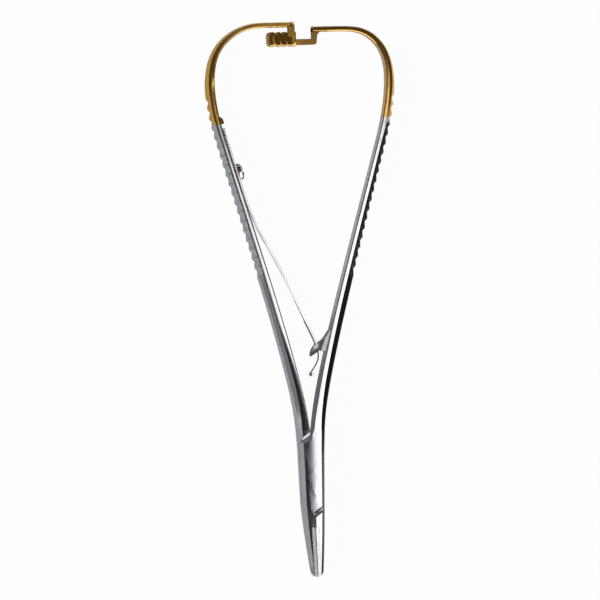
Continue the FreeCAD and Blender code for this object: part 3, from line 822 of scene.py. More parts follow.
    def marks(self, length: float) -> Array:
        """Distances of the sections: close together over the grip, wider elsewhere."""
        return np.concatenate([np.linspace(0.0, self.ridge_first - 0.5, 60),
                               np.arange(self.ridge_first - 0.3, self.ridge_last + 0.4, self.ridge_step),
                               np.linspace(self.ridge_last + 0.6, length, 60)])

    def corners(self, along: Array) -> tuple[Array, Array, Array]:
        """Corners of the sections and how far each corner's rounding reaches.

        The section is a flat wall with small bevels, a front that falls away as a parabola from its
        top, and an outer side of two slants whose meeting point is rounded off to the full thickness.

        Args:
            along: Distances of the sections.

        Returns:
            Corners (sections, 8, 2) as (outwards, height), and the reaches before and after each.
        """
        neck = (0.0, self.neck_width - self.neck_gap, self.neck_depth, self.neck_flat - self.neck_gap)
        rows = np.array([neck, *self.sections])
        thick, depth, flat = (np.interp(along, rows[:, 0], column) for column in rows[:, 1:].T)
        flat += (self.flat_more * np.clip((along - self.flat_more_start) / self.flat_more_rise, 0.0, 1.0)
                 * np.clip((self.flat_more_end - along) / self.flat_more_fall, 0.0, 1.0))
        half = depth / 2
        bevel = self.edge_bevel * np.minimum(1.0, self.bevel_start + along / self.bevel_run)
        share = np.minimum(along / self.crown_run, 1.0)
        top = (1 - share) * -self.neck_gap + share * (bevel + (flat - bevel) * self.crown_place)
        slope = self.crown_slope * np.clip((self.crown_end - along) / self.crown_fade, 0.0, 1.0)
        fall = slope / (2 * np.maximum(flat - top, top - bevel))
        near, far = half - fall * (bevel - top) ** 2, half - fall * (flat - top) ** 2
        middle = (bevel + flat) / 2
        peak = 2 * (half - fall * (middle - top) ** 2) - (near + far) / 2
        foot = self.edge_rise * far
        edge = thick - self.edge_run * foot
        worn = self.worn_sink(along)
        sunk, sunk_edge = thick - worn, edge - worn
        sunk_point = flat + (sunk_edge - flat) * far / (far - foot)
        turn = np.clip(2 * sunk - sunk_point, flat + self.least_side, sunk_edge)
        reach = np.hypot(sunk_point - turn, (sunk_point - turn) * far / (sunk_point - flat))
        zero = np.zeros_like(along)
        corners = np.stack([np.stack(pair, axis=1) for pair in (
            (zero, bevel - half), (zero, near - bevel), (bevel, near), (middle, peak), (flat, far),
            (sunk_point, zero), (flat, -half), (bevel, -half))], axis=1)
        small = np.minimum(self.edge_radius, 0.3 * bevel + 0.02)
        edges = np.full_like(along, self.edge_radius)
        span_near = np.hypot(middle - bevel, peak - near) - small - self.edge_play
        span_far = np.hypot(flat - middle, peak - far) - edges - self.edge_play
        before = np.stack([small, small, small, span_near, edges, reach, edges, small], axis=1)
        after = np.stack([small, small, small, span_far, edges, reach, edges, small], axis=1)
        return corners, before, after

    def build(self, name: str) -> bpy.types.Object:
        """The handle as sections carried along its wall, then along the straight top bar.

        Args:
            name: Name of the piece.

        Returns:
            The piece, with its grip mask and its lay.
        """
        length = self.wall()[0][-1]
        along = self.marks(length)
        _, point, _, out = self.wall(along)
        out[0], out[-1] = (1.0, 0.0), (0.0, 1.0)
        bar = np.array([(self.bar_end, self.bar_y)])
        point, out = np.concatenate([point, bar]), np.concatenate([out, out[-1:]])
        along = np.append(along, length + self.bar_start - self.bar_lead - self.bar_end)
        corners, before, after = self.corners(along)
        pieces = [2, 2, 2, 6, 4, 14, 4, 2]  # the front's crown and the outer side take the most
        outline = round_corners(corners, before, after, pieces, guard=0.02)
        rings = sweep(point, out, outline)
        rings[..., 0] *= self.side.value
        around = outline.shape[1]
        step = np.linalg.norm(np.diff(outline, axis=1, prepend=outline[:, -1:]), axis=2)
        lay = np.stack(np.broadcast_arrays(along[:, None], np.cumsum(step, axis=1), 0.0), axis=2)
        flat = corners[:, 4, :1]
        past = np.minimum(along - self.ridge_first, self.ridge_last - along)
        near = np.clip(past / self.grip_fade + 1.0, 0, 1)
        grip = np.clip((outline[..., 0] - flat) / self.grip_edge, 0, 1) * near[:, None]
        faces = tube_faces(len(along), around, self.side is Side.LEFT)
        return make_piece(name, rings.reshape(-1, 3), faces, lay.reshape(-1, 3), {"grip": grip.ravel()})


# ---- joint, ratchet, eye and pawl


@dataclass(frozen=True)
class BoxArm:
    """The box half: cheeks, left jaw, right handle, eye, carrier and catch, in millimetres."""
    handle: Handle
    catch_radius: float = 2.3
    catch_left: float = -9.9
    catch_right: float = -1.1
    catch_y: float = 134.45
    tooth_count: int = 3
    tooth_first: float = 2.1
    tooth_pitch: float = 1.88
    tooth_depth: float = 0.45
    tooth_land: float = 0.7
    tooth_drop: float = 0.25
    land_fall: float = 0.06
    neck_bar: float = 1.8
    riser_width: float = 0.95
    carrier_depth: float = 4.0
    carrier_step: float = 0.25
    carrier_flare: float = 0.5
    carrier_foot: float = 3.6
    eye_low: float = 36.0
    eye_high: float = 47.0
    beak_fall: float = 0.36
    beak_stand: float = 0.06
    beak_root: float = 0.5
    beak_side: float = 1.9
    beak_half: float = 2.4
    beak_least: float = 0.8
    beak_seat: float = 0.15

    def build_eye(self, node: bpy.types.Object) -> bpy.types.Object:
        """The beak on the inner wall, cut off where it meets the wall."""
        centres = face_centres(node)
        wall = self.handle.at_height(centres[:, 1])[0][:, 0]
        near = (centres[:, 1] > self.eye_low) & (centres[:, 1] < self.eye_high)
        piece = cut_from_node(node, "spring_eye", near & (centres[:, 0] < wall - CUT_PLAY), self.thin_beak)
        soften_edges(piece, width=0.08)
        return piece

    def thin_beak(self, places: Array) -> Array:
        """Lets both sides of the beak fall towards its tip, and carries its root over the arm's edge.

        The fall is a fixed share of the way from the wall, past a short level root.
        """
        wall = self.handle.at_height(places[:, 1])[0][:, 0]
        way = wall - places[:, 0]
        height = places[:, 2] - MID_Z
        fall = self.beak_fall * np.clip(way - self.beak_root, 0.0, None) - self.beak_stand
        size = np.abs(height)
        low = np.minimum(size, self.beak_least)
        sunk = np.where(size > self.beak_side, np.maximum(size - fall, low),
                        np.minimum(size, np.maximum(self.beak_half - fall, low)))
        moved = places.copy()
        moved[:, 2] = MID_Z + np.sign(height) * sunk
        moved[:, 0] += np.where(way < self.beak_seat, self.beak_root, 0.0)
        return moved

    def build_catch(self) -> bpy.types.Object:
        """The grooved catch: a rounded nose, then lands, drops and ramps carried round a squarish section.

        The section is a superellipse of power 6, so its radius at an angle is the profile's radius
        over the sixth root of the summed sixth powers of cosine and sine.
        """
        radius, left, count = self.catch_radius, self.catch_left, self.tooth_count
        worn = radius - self.land_fall
        start = np.array([(left, 0.0), (left, radius - 1.0), (left + 0.25, radius - 0.4), (left + 0.8, worn)])
        land_end = left + self.tooth_first + np.arange(count)[:, None] * self.tooth_pitch
        next_land = land_end + self.tooth_pitch - self.tooth_land
        teeth = np.stack([np.hstack([land_end, land_end + self.tooth_drop, next_land]),
                          np.broadcast_to([radius, radius - self.tooth_depth, worn], (count, 3))], axis=2)
        end = np.array([(self.catch_right, radius), (self.catch_right, 0.0)])
        profile = soften_profile(np.concatenate([start, teeth.reshape(-1, 2), end]), reach=0.1)
        around, power = 96, 6
        turn = np.linspace(0.0, 2 * math.pi, around, endpoint=False)
        reach = 1 / (np.abs(np.cos(turn)) ** power + np.abs(np.sin(turn)) ** power) ** (1 / power)
        spokes = profile[:, 1:] * reach
        rings = np.stack(np.broadcast_arrays(profile[:, :1], self.catch_y + spokes * np.cos(turn),
                                             MID_Z + spokes * np.sin(turn)), axis=2)
        return make_piece("ratchet_catch", rings.reshape(-1, 3), tube_faces(len(profile), around, False))

    def build_carrier(self) -> bpy.types.Object:
        """The thin bent bar: an outline with rounded turns, carried through its depth."""
        floor, end, bar = self.catch_y - 0.1, self.handle.bar_end, self.handle.bar_y
        low, right = floor - self.neck_bar, end + self.riser_width
        inner, foot = self.catch_right - self.carrier_step, right + self.carrier_foot
        outline = np.array([(end, bar + 0.9), (end, floor), (inner, floor), (inner, low), (right, low + 0.02),
                            (right + self.carrier_flare, bar + 0.01), (foot, bar + 0.03),
                            (foot, bar + 0.9)])[None]
        reach = np.array([[0.05, 0.3, 0.05, 0.05, 0.65, 1.5, 0.05, 0.05]])
        flat = round_corners(outline, reach, reach, [2, 5, 2, 2, 8, 12, 2, 2], guard=0.01)[0]
        half = self.carrier_depth / 2
        rings = np.stack([np.column_stack([flat, np.full(len(flat), MID_Z + side * half)])
                          for side in (-1, 1)])
        piece = make_piece("ratchet_carrier", rings.reshape(-1, 3), tube_faces(2, len(flat), False))
        soften_edges(piece, width=0.12)
        return piece

    def dress(self, frame: dict, materials: dict[Finish, bpy.types.Material]) -> None:
        """Builds and dresses all pieces of the half."""
        node = frame["nodes"]["box_arm"]
        for piece, finish in ((cut_joint(node, "box_joint", self.handle.joint_top), JOINT),
                              (self.build_eye(node), BEAK), (self.handle.build("box_handle"), BOX_HANDLE),
                              (self.build_catch(), GOLD), (self.build_carrier(), GOLD)):
            dress(piece, materials[finish], finish, BOX_BODY, "box_arm")


@dataclass(frozen=True)
class TongueArm:
    """The tongue half: tongue, right jaw, left handle, scoop, stop and pawl, in millimetres."""
    handle: Handle
    pawl_low: float = 134.9
    hook_reach: float = 3.75
    stop_low: float = 106.5
    stop_high: float = 111.5
    stop_shift: tuple[float, float, float] = (-0.6, 0.95, 0.0)
    scoop_slope: float = 0.42
    scoop_floor: float = 6.14
    scoop_low: float = 5.1
    scoop_plan: Plan = ((-3.15, 11.42), (-0.62, 13.12), (-0.66, 14.05), (-1.5, 13.42), (-2.3, 12.86),
                        (-2.86, 12.35))

    def build_scoop(self) -> bpy.types.Object:
        """The smooth shallow scoop where the tongue leaves the box: a flat floor that rises to the arm.

        Its lower border runs beside the box's edge, and its floor climbs from there by a fixed share.
        """
        plan = np.array(self.scoop_plan)
        edge = plan[1] - plan[0]
        inward = np.array([-edge[1], edge[0]]) / np.linalg.norm(edge)
        rise = (plan - plan[0]) @ inward
        top = np.column_stack([plan, self.scoop_floor + self.scoop_slope * rise])
        low = np.column_stack([plan, np.full(len(plan), self.scoop_low)])
        piece = make_piece("tongue_scoop", np.concatenate([low, top]), tube_faces(2, len(plan), False))
        soften_edges(piece, width=0.05, angle=50.0)
        return piece

    def build_pawl(self, node: bpy.types.Object) -> bpy.types.Object:
        """The hooked pawl and its cap, cut off where they meet the top bar."""
        centres = face_centres(node)
        wanted = (centres[:, 1] > self.pawl_low) & (centres[:, 0] > -self.hook_reach)
        piece = cut_from_node(node, "pawl", wanted)
        soften_edges(piece, width=0.1)
        return piece

    def build_stop(self, node: bpy.types.Object) -> bpy.types.Object:
        """The small stop above the spring, cut off where it meets the wall."""
        centres = face_centres(node)
        wall = self.handle.at_height(centres[:, 1])[0][:, 0]
        near = (centres[:, 1] > self.stop_low) & (centres[:, 1] < self.stop_high)
        piece = cut_from_node(node, "spring_stop", near & (-centres[:, 0] < wall - CUT_PLAY),
                              lambda places: places + np.array(self.stop_shift))
        soften_edges(piece, width=0.5)
        return piece

    def dress(self, frame: dict, materials: dict[Finish, bpy.types.Material]) -> None:
        """Builds and dresses all pieces of the half."""
        node = frame["nodes"]["tongue_arm"]
        for piece, finish in ((cut_joint(node, "tongue_joint", self.handle.joint_top), JOINT),
                              (self.build_scoop(), JOINT),
                              (self.handle.build("tongue_handle"), TONGUE_HANDLE),
                              (self.build_pawl(node), GOLD), (self.build_stop(node), GOLD)):
            dress(piece, materials[finish], finish, TONGUE_BODY, "tongue_arm")


@dataclass(frozen=True)
class LeafSpring:
    """The leaf spring with its rolled tail, in millimetres.

    Attributes:
        handle: The handle that it is screwed to.
        bulge: Shares of the free run from the handle to the eye, and how far the leaf stands off there.
        tail: Steps from the eye along the tail.
    """
    handle: Handle
    thickness: float = 0.6
    width: float = 4.0
    tip_width: float = 2.4
    edge_slant: float = 0.045
    seat: float = 0.03
    top: float = 107.6
    leave: float = 90.0
    eye: tuple[float, float] = (2.6, 41.0)
    bulge: Plan = ((0.208, 1.16), (0.475, 0.42), (0.857, 0.0))
    tail: Plan = ((0.0, 0.0), (0.8, -2.6), (0.85, -4.4), (0.0, -6.5), (-1.65, -8.9))
    corner_reach: float = 0.09
    roll_radius: float = 0.6
    roll_drop: float = 0.45

    def line(self) -> Array:
        """Points of the leaf's middle line in plan."""
        point, _, out = self.handle.at_height(np.array([self.top, 102.0, 96.5, self.leave]))
        seat = point - out * (self.seat + self.thickness / 2)
        seat[:, 0] *= -1
        leave, eye = seat[-1], np.array(self.eye)
        run = eye - leave
        outwards = np.array([run[1], -run[0]]) / np.linalg.norm(run)
        shares, rises = np.array(self.bulge).T[..., None]
        return np.concatenate([seat, leave + run * shares + outwards * rises, eye + np.array(self.tail)])

    def build(self) -> bpy.types.Object:
        """The leaf: a thin strip with worn corners and slanted edges, carried along its line."""
        length = smooth_path(self.line())[0][-1]
        along = np.concatenate([np.linspace(0, length - 13, 90), np.linspace(length - 12.8, length, 60)])
        _, point, ahead = smooth_path(self.line(), along)
        side = np.stack([ahead[:, 1], -ahead[:, 0]], axis=1)
        wide = np.interp(along, [0, length - 45, length - 14, length],
                         [self.width, self.width, self.tip_width, self.tip_width]) / 2
        thick = np.full_like(wide, self.thickness / 2)
        low = wide - self.edge_slant
        corners = np.stack([np.stack(pair, axis=1) for pair in
                            ((thick, -wide), (thick, wide), (-thick, low), (-thick, -low))], axis=1)
        reach = np.full(corners.shape[:2], self.corner_reach)
        outline = round_corners(corners, reach, reach, [3, 3, 3, 3], guard=0.02)
        rings = sweep(point, side, outline)
        lay = np.stack(np.broadcast_arrays(along[:, None], outline[..., 1], 0.0), axis=2)
        faces = tube_faces(len(along), outline.shape[1], True)
        return make_piece("leaf", rings.reshape(-1, 3), faces, lay.reshape(-1, 3))

    def build_roll(self) -> bpy.types.Object:
        """The rolled end of the tail, a short bar with rounded rims."""
        half, radius, around = self.tip_width / 2, self.roll_radius, 48
        profile = soften_profile(np.array([(-half, 0.0), (-half, radius), (half, radius), (half, 0.0)]),
                                 reach=0.15)
        centre = self.line()[-1] - np.array([0.0, self.roll_drop])
        turn = np.linspace(0.0, 2 * math.pi, around, endpoint=False)
        rings = np.stack(np.broadcast_arrays(centre[0] + profile[:, 1, None] * np.cos(turn),
                                             centre[1] + profile[:, 1, None] * np.sin(turn),
                                             MID_Z + profile[:, :1]), axis=2)
        return make_piece("leaf_roll", rings.reshape(-1, 3), tube_faces(len(profile), around, False))

    def dress(self, materials: dict[Finish, bpy.types.Material]) -> None:
        """Builds the leaf in place of the imported spring, gives it its finish and puts the roll on its far
        end.
        """
        leaf = self.build()
        leaf.data.materials.append(materials[SPRING])
        start = self.line()[3]
        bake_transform(leaf)
        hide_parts("leaf_spring")
        log.info("leaf bends between %s and %s", TONGUE_BODY, BOX_BODY)
        dress(self.build_roll(), materials[SPRING], SPRING, BOX_BODY)


@dataclass(frozen=True)
class SpringScrew:
    """The domed slotted screw that holds the leaf, in millimetres."""
    handle: Handle
    height_on_arm: float = 93.9
    under_head: float = 0.66
    radius: float = 2.55
    rise: float = 1.85
    rim: float = 0.8
    fullness: float = 0.75
    slot: float = 0.7
    slot_depth: float = 0.75

    def build(self) -> bpy.types.Object:
        """The head: a low rim and a dome carried round the axis, with a slot cut across it."""
        point, ahead, out = (row[0] for row in self.handle.at_height(np.array([self.height_on_arm])))
        axis = np.array([out[0], -out[1], 0.0])
        foot = np.array([-point[0], point[1], MID_Z]) + axis * self.under_head
        turn = np.linspace(0.0, math.pi / 2, 14)
        dome = np.stack([self.rim + (self.rise - self.rim) * np.sin(turn),
                         self.radius * np.cos(turn) ** self.fullness], axis=1)
        profile = np.concatenate([[(0.0, 0.0), (0.0, self.radius - 0.1), (0.1, self.radius)], dome])
        profile[-1, 1] = 0.0
        head = lathe("screw_head", profile, foot, axis, around=72)
        across = np.array([-ahead[0], ahead[1], 0.0])
        self.cut_slot(head, foot + axis * (self.rise - self.slot_depth), axis, across)
        soften_edges(head, width=0.06, angle=35.0)
        return head

    def cut_slot(self, head: bpy.types.Object, floor: Array, axis: Array, across: Array) -> None:
        """Cuts a straight slot into the dome, from front to back.

        Args:
            head: The screw head.
            floor: Middle of the slot's floor.
            axis: Direction out of the head.
            across: Direction across the slot.
        """
        up, side = np.array([0.0, 0.0, 4.0]), across * self.slot / 2
        low = [floor + side * a + up * b for a, b in ((-1, -1), (1, -1), (1, 1), (-1, 1))]
        places = np.array(low + [place + axis * 3 for place in low])
        faces = [[0, 3, 2, 1], [4, 5, 6, 7], [0, 1, 5, 4], [1, 2, 6, 5], [2, 3, 7, 6], [3, 0, 4, 7]]
        cutter = make_piece("slot_cutter", places, faces)
        form = bmesh.new()
        form.from_mesh(cutter.data)
        bmesh.ops.recalc_face_normals(form, faces=form.faces)
        form.to_mesh(cutter.data)
        form.free()
        cut = head.modifiers.new("slot", "BOOLEAN")
        cut.object, cut.solver = cutter, "EXACT"
        bpy.context.view_layer.update()
        result = bpy.data.meshes.new_from_object(head.evaluated_get(bpy.context.evaluated_depsgraph_get()))
        head.modifiers.clear()
        head.data = result
        shade_smooth(result, sharp=32.0)
        bpy.data.objects.remove(cutter)

    def dress(self, materials: dict[Finish, bpy.types.Material]) -> None:
        """Builds and dresses the head, which stands for the whole screw."""
        dress(self.build(), materials[SCREW], SCREW, TONGUE_BODY, "spring_screw")


@dataclass(frozen=True)
class Insert:
    """A hard insert with its crosshatched bite, in millimetres.

    Attributes:
        side: Side of the middle plane.
        depths: Distance along the jaw and half the insert's depth there.
        rows: Points along the bite.
        columns: Points across it.
    """
    side: Side
    reach: float = 30.4
    length: float = 15.2
    thickness: float = 1.25
    bite_gap: float = 0.05
    tooth: float = 0.42
    tooth_depth: float = 0.11
    front_fall: float = 0.1
    nose_radius: float = 2.6
    back_gap: float = 0.03
    end_gap: float = 0.02
    depths: Plan = ((-30.4, 1.42), (-24.0, 2.07), (-17.0, 2.74), (-12.0, 3.15))
    rows: int = 181
    columns: int = 61

    def build(self, name: str) -> bpy.types.Object:
        """The insert: a bite of small pyramids over a flat back, closed round its border.

        A pyramid's height is the lesser of two triangle waves that run along both diagonals.

        Args:
            name: Name of the piece.

        Returns:
            The piece.
        """
        start, end = self.end_gap - self.reach, self.length - self.reach - self.end_gap
        y = np.linspace(start, end, self.rows)[:, None]
        depth = np.interp(y, *np.array(self.depths).T)
        z = np.linspace(-1.0, 1.0, self.columns)[None] * depth
        waves = [np.abs(np.mod((y + sign * z) / self.tooth, 1.0) * 2 - 1) for sign in (-1, 1)]
        bite = self.bite_gap + 0.005 + self.tooth_depth * (1 - np.minimum(*waves))
        back = np.full_like(bite, self.thickness - self.back_gap)
        y = np.broadcast_to(y, bite.shape)
        past = np.clip(self.nose_radius - self.reach - y, 0, None)
        limit = np.sqrt(np.clip(self.nose_radius ** 2 - past ** 2, 0.05, None))
        fall = self.front_fall if self.side is Side.RIGHT else 0.01
        halves = (z, z * (depth - fall) / depth)
        sheets = [np.stack([self.side.value * np.minimum(x, limit), y, half + MID_Z], axis=2)
                  for x, half in zip((bite, back), halves)]
        places = np.concatenate([sheet.reshape(-1, 3) for sheet in sheets])
        count = self.rows * self.columns
        number = np.arange(count).reshape(self.rows, self.columns)
        quads = np.stack([number[:-1, :-1], number[1:, :-1], number[1:, 1:], number[:-1, 1:]], axis=2)
        quads = quads.reshape(-1, 4)
        rim = np.concatenate([number[:-1, 0], number[-1, :-1], number[:0:-1, -1], number[0, :0:-1]])
        other = rim + count
        walls = np.stack([rim, other, np.roll(other, -1), np.roll(rim, -1)], axis=1)
        faces = np.concatenate([quads, quads[:, ::-1] + count, walls])
        if self.side is Side.RIGHT:
            faces = faces[:, ::-1]
        piece = make_piece(name, slim_jaws(places), faces.tolist())
        piece.data.polygons.foreach_set("use_smooth", np.zeros(len(piece.data.polygons), bool))
        return piece

    def dress(self, materials: dict[Finish, bpy.types.Material]) -> None:
        """Builds and dresses the insert."""
        node, body = ("box_insert", BOX_BODY) if self.side is Side.LEFT else ("tongue_insert", TONGUE_BODY)
        dress(self.build(node + "_teeth"), materials[HARD], HARD, body, node)


# ---- studio


FLOOR_CARDS = 0.0003  # height in metres of the cards just over the floor


def upright(y: float, top: float, half: float = 0.34) -> Array:
    """Corners in metres of an upright card across the object's length."""
    return np.array([(-half, y, 0.0), (half, y, 0.0), (half, y, top), (-half, y, top)])


def level(z: float, *plan: tuple[float, float]) -> Array:
    """Corners in metres of a level card."""
    return np.array([(x, y, z) for x, y in plan])


@dataclass(frozen=True)
class Card:
    """A flat card that is seen in reflections alone.

    Attributes:
        name: Name of the card.
        corners: Its corners in order, in metres.
        colour: Its colour, linear.
        strength: Strength of its light.
        upper: Its colour past the change, or None for one colour.
        change: Heights in metres between which the colour changes.
    """
    name: str
    corners: Array
    colour: Colour
    strength: float
    upper: Colour | None = None
    change: tuple[float, float] = (0.0, 0.0)


# Two cards close the tent's ends, and small ones give single faces their tone: one for the grooved catch,
# then, just over the floor, one each for the right arm, the leaf and the gold rims. The ones over the floor
# are painted shade and painted light on the floor, seen in reflections alone: a dark patch of painted shade
# for the right arm, and bright patches of painted light for the leaf and the gold rims.
CARDS = (
    Card("near_card", upright(-0.2, 0.32), (1.0, 1.0, 1.0), 2.2),
    Card("far_card", upright(0.49, 0.34), (1.0, 0.9, 0.72), 1.5, (0.01, 0.008, 0.006), (0.04, 0.06)),
    Card("catch_card", level(0.305, (0.044, 0.138), (0.0605, 0.138), (0.0605, 0.1487), (0.044, 0.1487)),
         (1.0, 0.92, 0.8), 1.1),
    # painted shade: a dark patch over the floor, seen in reflections alone, that darkens the right arm's
    # outer side
    Card("right_shade_card", level(FLOOR_CARDS, (0.009, -0.2), (0.34, -0.2), (0.34, 0.107), (0.031, 0.107),
                             (0.009, 0.015)), (0.01, 0.012, 0.015), 1.0),
    # painted light: a bright patch over the floor, seen in reflections alone, that lights the leaf
    Card("leaf_light_card", level(FLOOR_CARDS, (-0.0225, 0.09), (-0.0013, 0.0477), (0.0037, 0.0477),
                            (-0.0175, 0.09)), (0.93, 0.97, 1.0), 1.4),
    # painted light: a bright patch over the floor, seen in reflections alone, that lights the gold rims
    Card("rim_light_card", level(FLOOR_CARDS, (-0.02, 0.1406), (0.012, 0.1406), (0.0195, 0.1392), (0.025, 0.1365),
                           (0.0285, 0.132), (0.0302, 0.1265), (0.0305, 0.118), (0.0305, 0.1075),
                           (0.1, 0.1075), (0.1, 0.2), (-0.02, 0.2)), (1.0, 0.93, 0.82), 0.9))

# Colours of the tent by angle in degrees, from the left over the top to the right.
TENT = ((-90, (0.13, 0.13, 0.135)), (-56, (0.13, 0.13, 0.13)), (-48, (0.012, 0.011, 0.011)),
        (-16, (0.008, 0.007, 0.007)), (1, (0.01, 0.009, 0.01)), (5, (0.03, 0.029, 0.034)),
        (9, (0.1, 0.1, 0.115)), (12, (0.34, 0.34, 0.38)), (15, (1, 1, 1)), (37, (1, 1, 1)),
        (39, (0.24, 0.16, 0.1)), (43, (0.004, 0.004, 0.004)), (84, (0.004, 0.004, 0.005)),
        (90, (0.01, 0.013, 0.017)))
WHITE = (1.0, 1.0, 1.0, 1.0)


@dataclass(frozen=True)
class Studio:
    """Pale floor, a soft tent of cards and the camera.

    Attributes:
        roll: Turn of the camera about the object's long axis, in degrees.
        lean: Turn of the picture, in degrees.
        distance: From the camera to the object, in metres.
        view_width: Width of the picture at the object, in metres.
        aim: Where the picture's middle lies across, along and above, in metres.
        tent_radius: Radius of the tent, in metres.
        tent_ends: Where the tent starts and ends along the object, in metres.
        panel_end: Where the tent's bright panel ends along the object at its left, in metres.
        panel_more: How much further it ends at its right.
        panel_slant: Slope of both ends.
        panel_split: Where across left and right part, in metres.
        panel_soft: Length over which each end fades, in metres.
        past_half: Angle either side of the top within which the tent is dark past the panel, in radians.
        past_colour: The tent's colour there.
        bow_start: Where that dark begins over the bows whatever the slant, along the object, in metres.
        bow_right: Where across that stretch ends, in metres.
        far_start: Where the tent's far end begins along the object, in metres.
        tent_strength: Strength of the tent's light.
        lamp_place: The lamp's distance from the long axis and its place along it, in metres.
        lamp_height: Its height over the floor as an angle, in degrees.
    """
    roll: float = 11.0
    lean: float = 1.75
    distance: float = 3.0
    view_width: float = 0.1838
    aim: tuple[float, float, float] = (-0.0019, 0.0545, 0.0034)
    tent_radius: float = 0.32
    tent_ends: tuple[float, float] = (-0.42, 0.5)
    panel_end: float = 0.099
    panel_more: float = 0.034
    panel_slant: float = 0.27
    panel_split: float = 0.12
    panel_soft: float = 0.006
    past_half: float = 0.78
    past_colour: Colour = (0.04, 0.036, 0.02)
    bow_start: float = 0.113
    bow_right: float = 0.075
    far_start: float = 0.26
    tent_strength: float = 2.1
    lamp_place: tuple[float, float] = (0.34, 0.05)
    lamp_height: float = 28.0

    def add_camera(self) -> None:
        """Camera over the object, rolled towards the left handle."""
        roll, lean = math.radians(self.roll), math.radians(self.lean)
        across = np.array([math.cos(roll), 0.0, math.sin(roll)])
        along = np.array([0.0, 1.0, 0.0])
        right = across * math.cos(lean) - along * math.sin(lean)
        up = along * math.cos(lean) + across * math.sin(lean)
        back = np.cross(right, up)
        target = across * self.aim[0] + along * self.aim[1] + np.array([0.0, 0.0, self.aim[2]])
        data = bpy.data.cameras.new("camera")
        data.sensor_width = 36.0
        data.lens = 36.0 * self.distance / self.view_width
        data.clip_start, data.clip_end = 0.05, 20.0
        camera = link_object("camera", data)
        turn = np.eye(4)
        turn[:3, 0], turn[:3, 1], turn[:3, 2], turn[:3, 3] = right, up, back, target + back * self.distance
        camera.matrix_world = Matrix(turn.tolist())
        bpy.context.scene.camera = camera

    def background_share(self, bench: Bench, camera: float, mirror: float) -> bpy.types.NodeSocket:
        """How much of the white background a ray sees.

        Args:
            bench: Where the nodes go.
            camera: Share for the camera's own rays.
            mirror: Share for reflections, and for rays through glass.

        Returns:
            The share.
        """
        path = bench.node("ShaderNodeLightPath")
        other = bench.math("MAXIMUM", path.outputs["Is Glossy Ray"], path.outputs["Is Transmission Ray"])
        return bench.math("ADD", bench.math("MULTIPLY", path.outputs["Is Camera Ray"], camera),
                          bench.math("MULTIPLY", other, mirror))

    def add_floor(self) -> None:
        """A wide pale floor just under the object that shows white to the camera."""
        size, under = 3.0, -0.0001
        corners = level(under, (-size, -size), (size, -size), (size, size), (-size, size))
        floor = self.add_sheet("floor", corners)
        material, bench = self.new_material("pale_floor")
        paper = bench.node("ShaderNodeBsdfDiffuse", Color=(0.6, 0.6, 0.61, 1.0))
        white = bench.node("ShaderNodeEmission", Color=WHITE, Strength=1.0)
        share = self.background_share(bench, camera=0.975, mirror=0.12)
        mixed = bench.node("ShaderNodeMixShader", i0=share, i1=paper.outputs[0], i2=white.outputs[0])
        bench.node("ShaderNodeOutputMaterial", Surface=mixed.outputs[0])
        floor.data.materials.append(material)

    def add_sheet(self, name: str, places: Array,
                  faces: list[tuple[int, ...]] | None = None) -> bpy.types.Object:
        """A studio surface that isn't part of the object, of one face unless faces are given."""
        mesh = bpy.data.meshes.new(name)
        mesh.from_pydata(places.tolist(), [], faces or [tuple(range(len(places)))])
        sheet = link_object(name, mesh)
        return sheet

    def add_world(self) -> None:
        """White surroundings, and a plain level of light from them."""
        world = bpy.data.worlds.new("studio")
        bpy.context.scene.world = world
        world.use_nodes = True
        world.node_tree.nodes.clear()
        bench = Bench(world.node_tree)
        plain = bench.node("ShaderNodeBackground", Color=WHITE, Strength=0.12)
        white = bench.node("ShaderNodeBackground", Color=WHITE, Strength=1.0)
        share = self.background_share(bench, camera=1.0, mirror=1.0)
        mixed = bench.node("ShaderNodeMixShader", i0=share, i1=plain.outputs[0], i2=white.outputs[0])
        bench.node("ShaderNodeOutputWorld", Surface=mixed.outputs[0])

    def tent_colour(self, bench: Bench) -> bpy.types.NodeSocket:
        """The tent's colour over its inner side.

        It is grey at the left and dark above, with one bright panel right of the top. The panel ends
        at a slant along the object, and past it the tent is dark. The far end is warm low on the
        right and grey on the left.
        """
        spot = bench.place()
        x, y, z = (bench.part(spot, letter) for letter in "XYZ")
        angle = bench.math("ARCTAN2", x, z)
        ramp = bench.node("ShaderNodeValToRGB", Fac=bench.math("MULTIPLY_ADD", angle, 1 / math.pi, 0.5))
        elements = ramp.color_ramp.elements
        elements.remove(elements[1])
        elements[0].position, elements[0].color = 0.0, (*TENT[0][1], 1.0)
        for degrees, colour in TENT[1:]:
            elements.new(min(degrees / 180 + 0.5, 1.0)).color = (*colour, 1.0)
        slant = bench.math("MULTIPLY", x, self.panel_slant)
        end, far_end = self.panel_end, self.panel_end + self.panel_more
        left = bench.ramp(bench.math("SUBTRACT", y, slant), end, end + self.panel_soft)
        right = bench.ramp(bench.math("ADD", y, slant), far_end, far_end + self.panel_soft)
        past = bench.mix(bench.math("GREATER_THAN", x, self.panel_split), left, right)
        bow = bench.math("MULTIPLY", bench.ramp(y, self.bow_start, self.bow_start + 0.005),
                         bench.math("LESS_THAN", x, self.bow_right))
        past = bench.math("MAXIMUM", past, bow)
        above = bench.math("LESS_THAN", bench.math("ABSOLUTE", angle), self.past_half)
        colour = bench.mix(bench.math("MULTIPLY", past, above), ramp.outputs[0], self.past_colour)
        far = bench.ramp(y, self.far_start, self.far_start + 0.04)
        for zone, tone in ((bench.math("GREATER_THAN", angle, 0.9), (0.8, 0.7, 0.55)),
                           (bench.math("LESS_THAN", angle, -0.4), (0.14, 0.14, 0.145))):
            colour = bench.mix(bench.math("MULTIPLY", far, zone), colour, tone)
        return colour

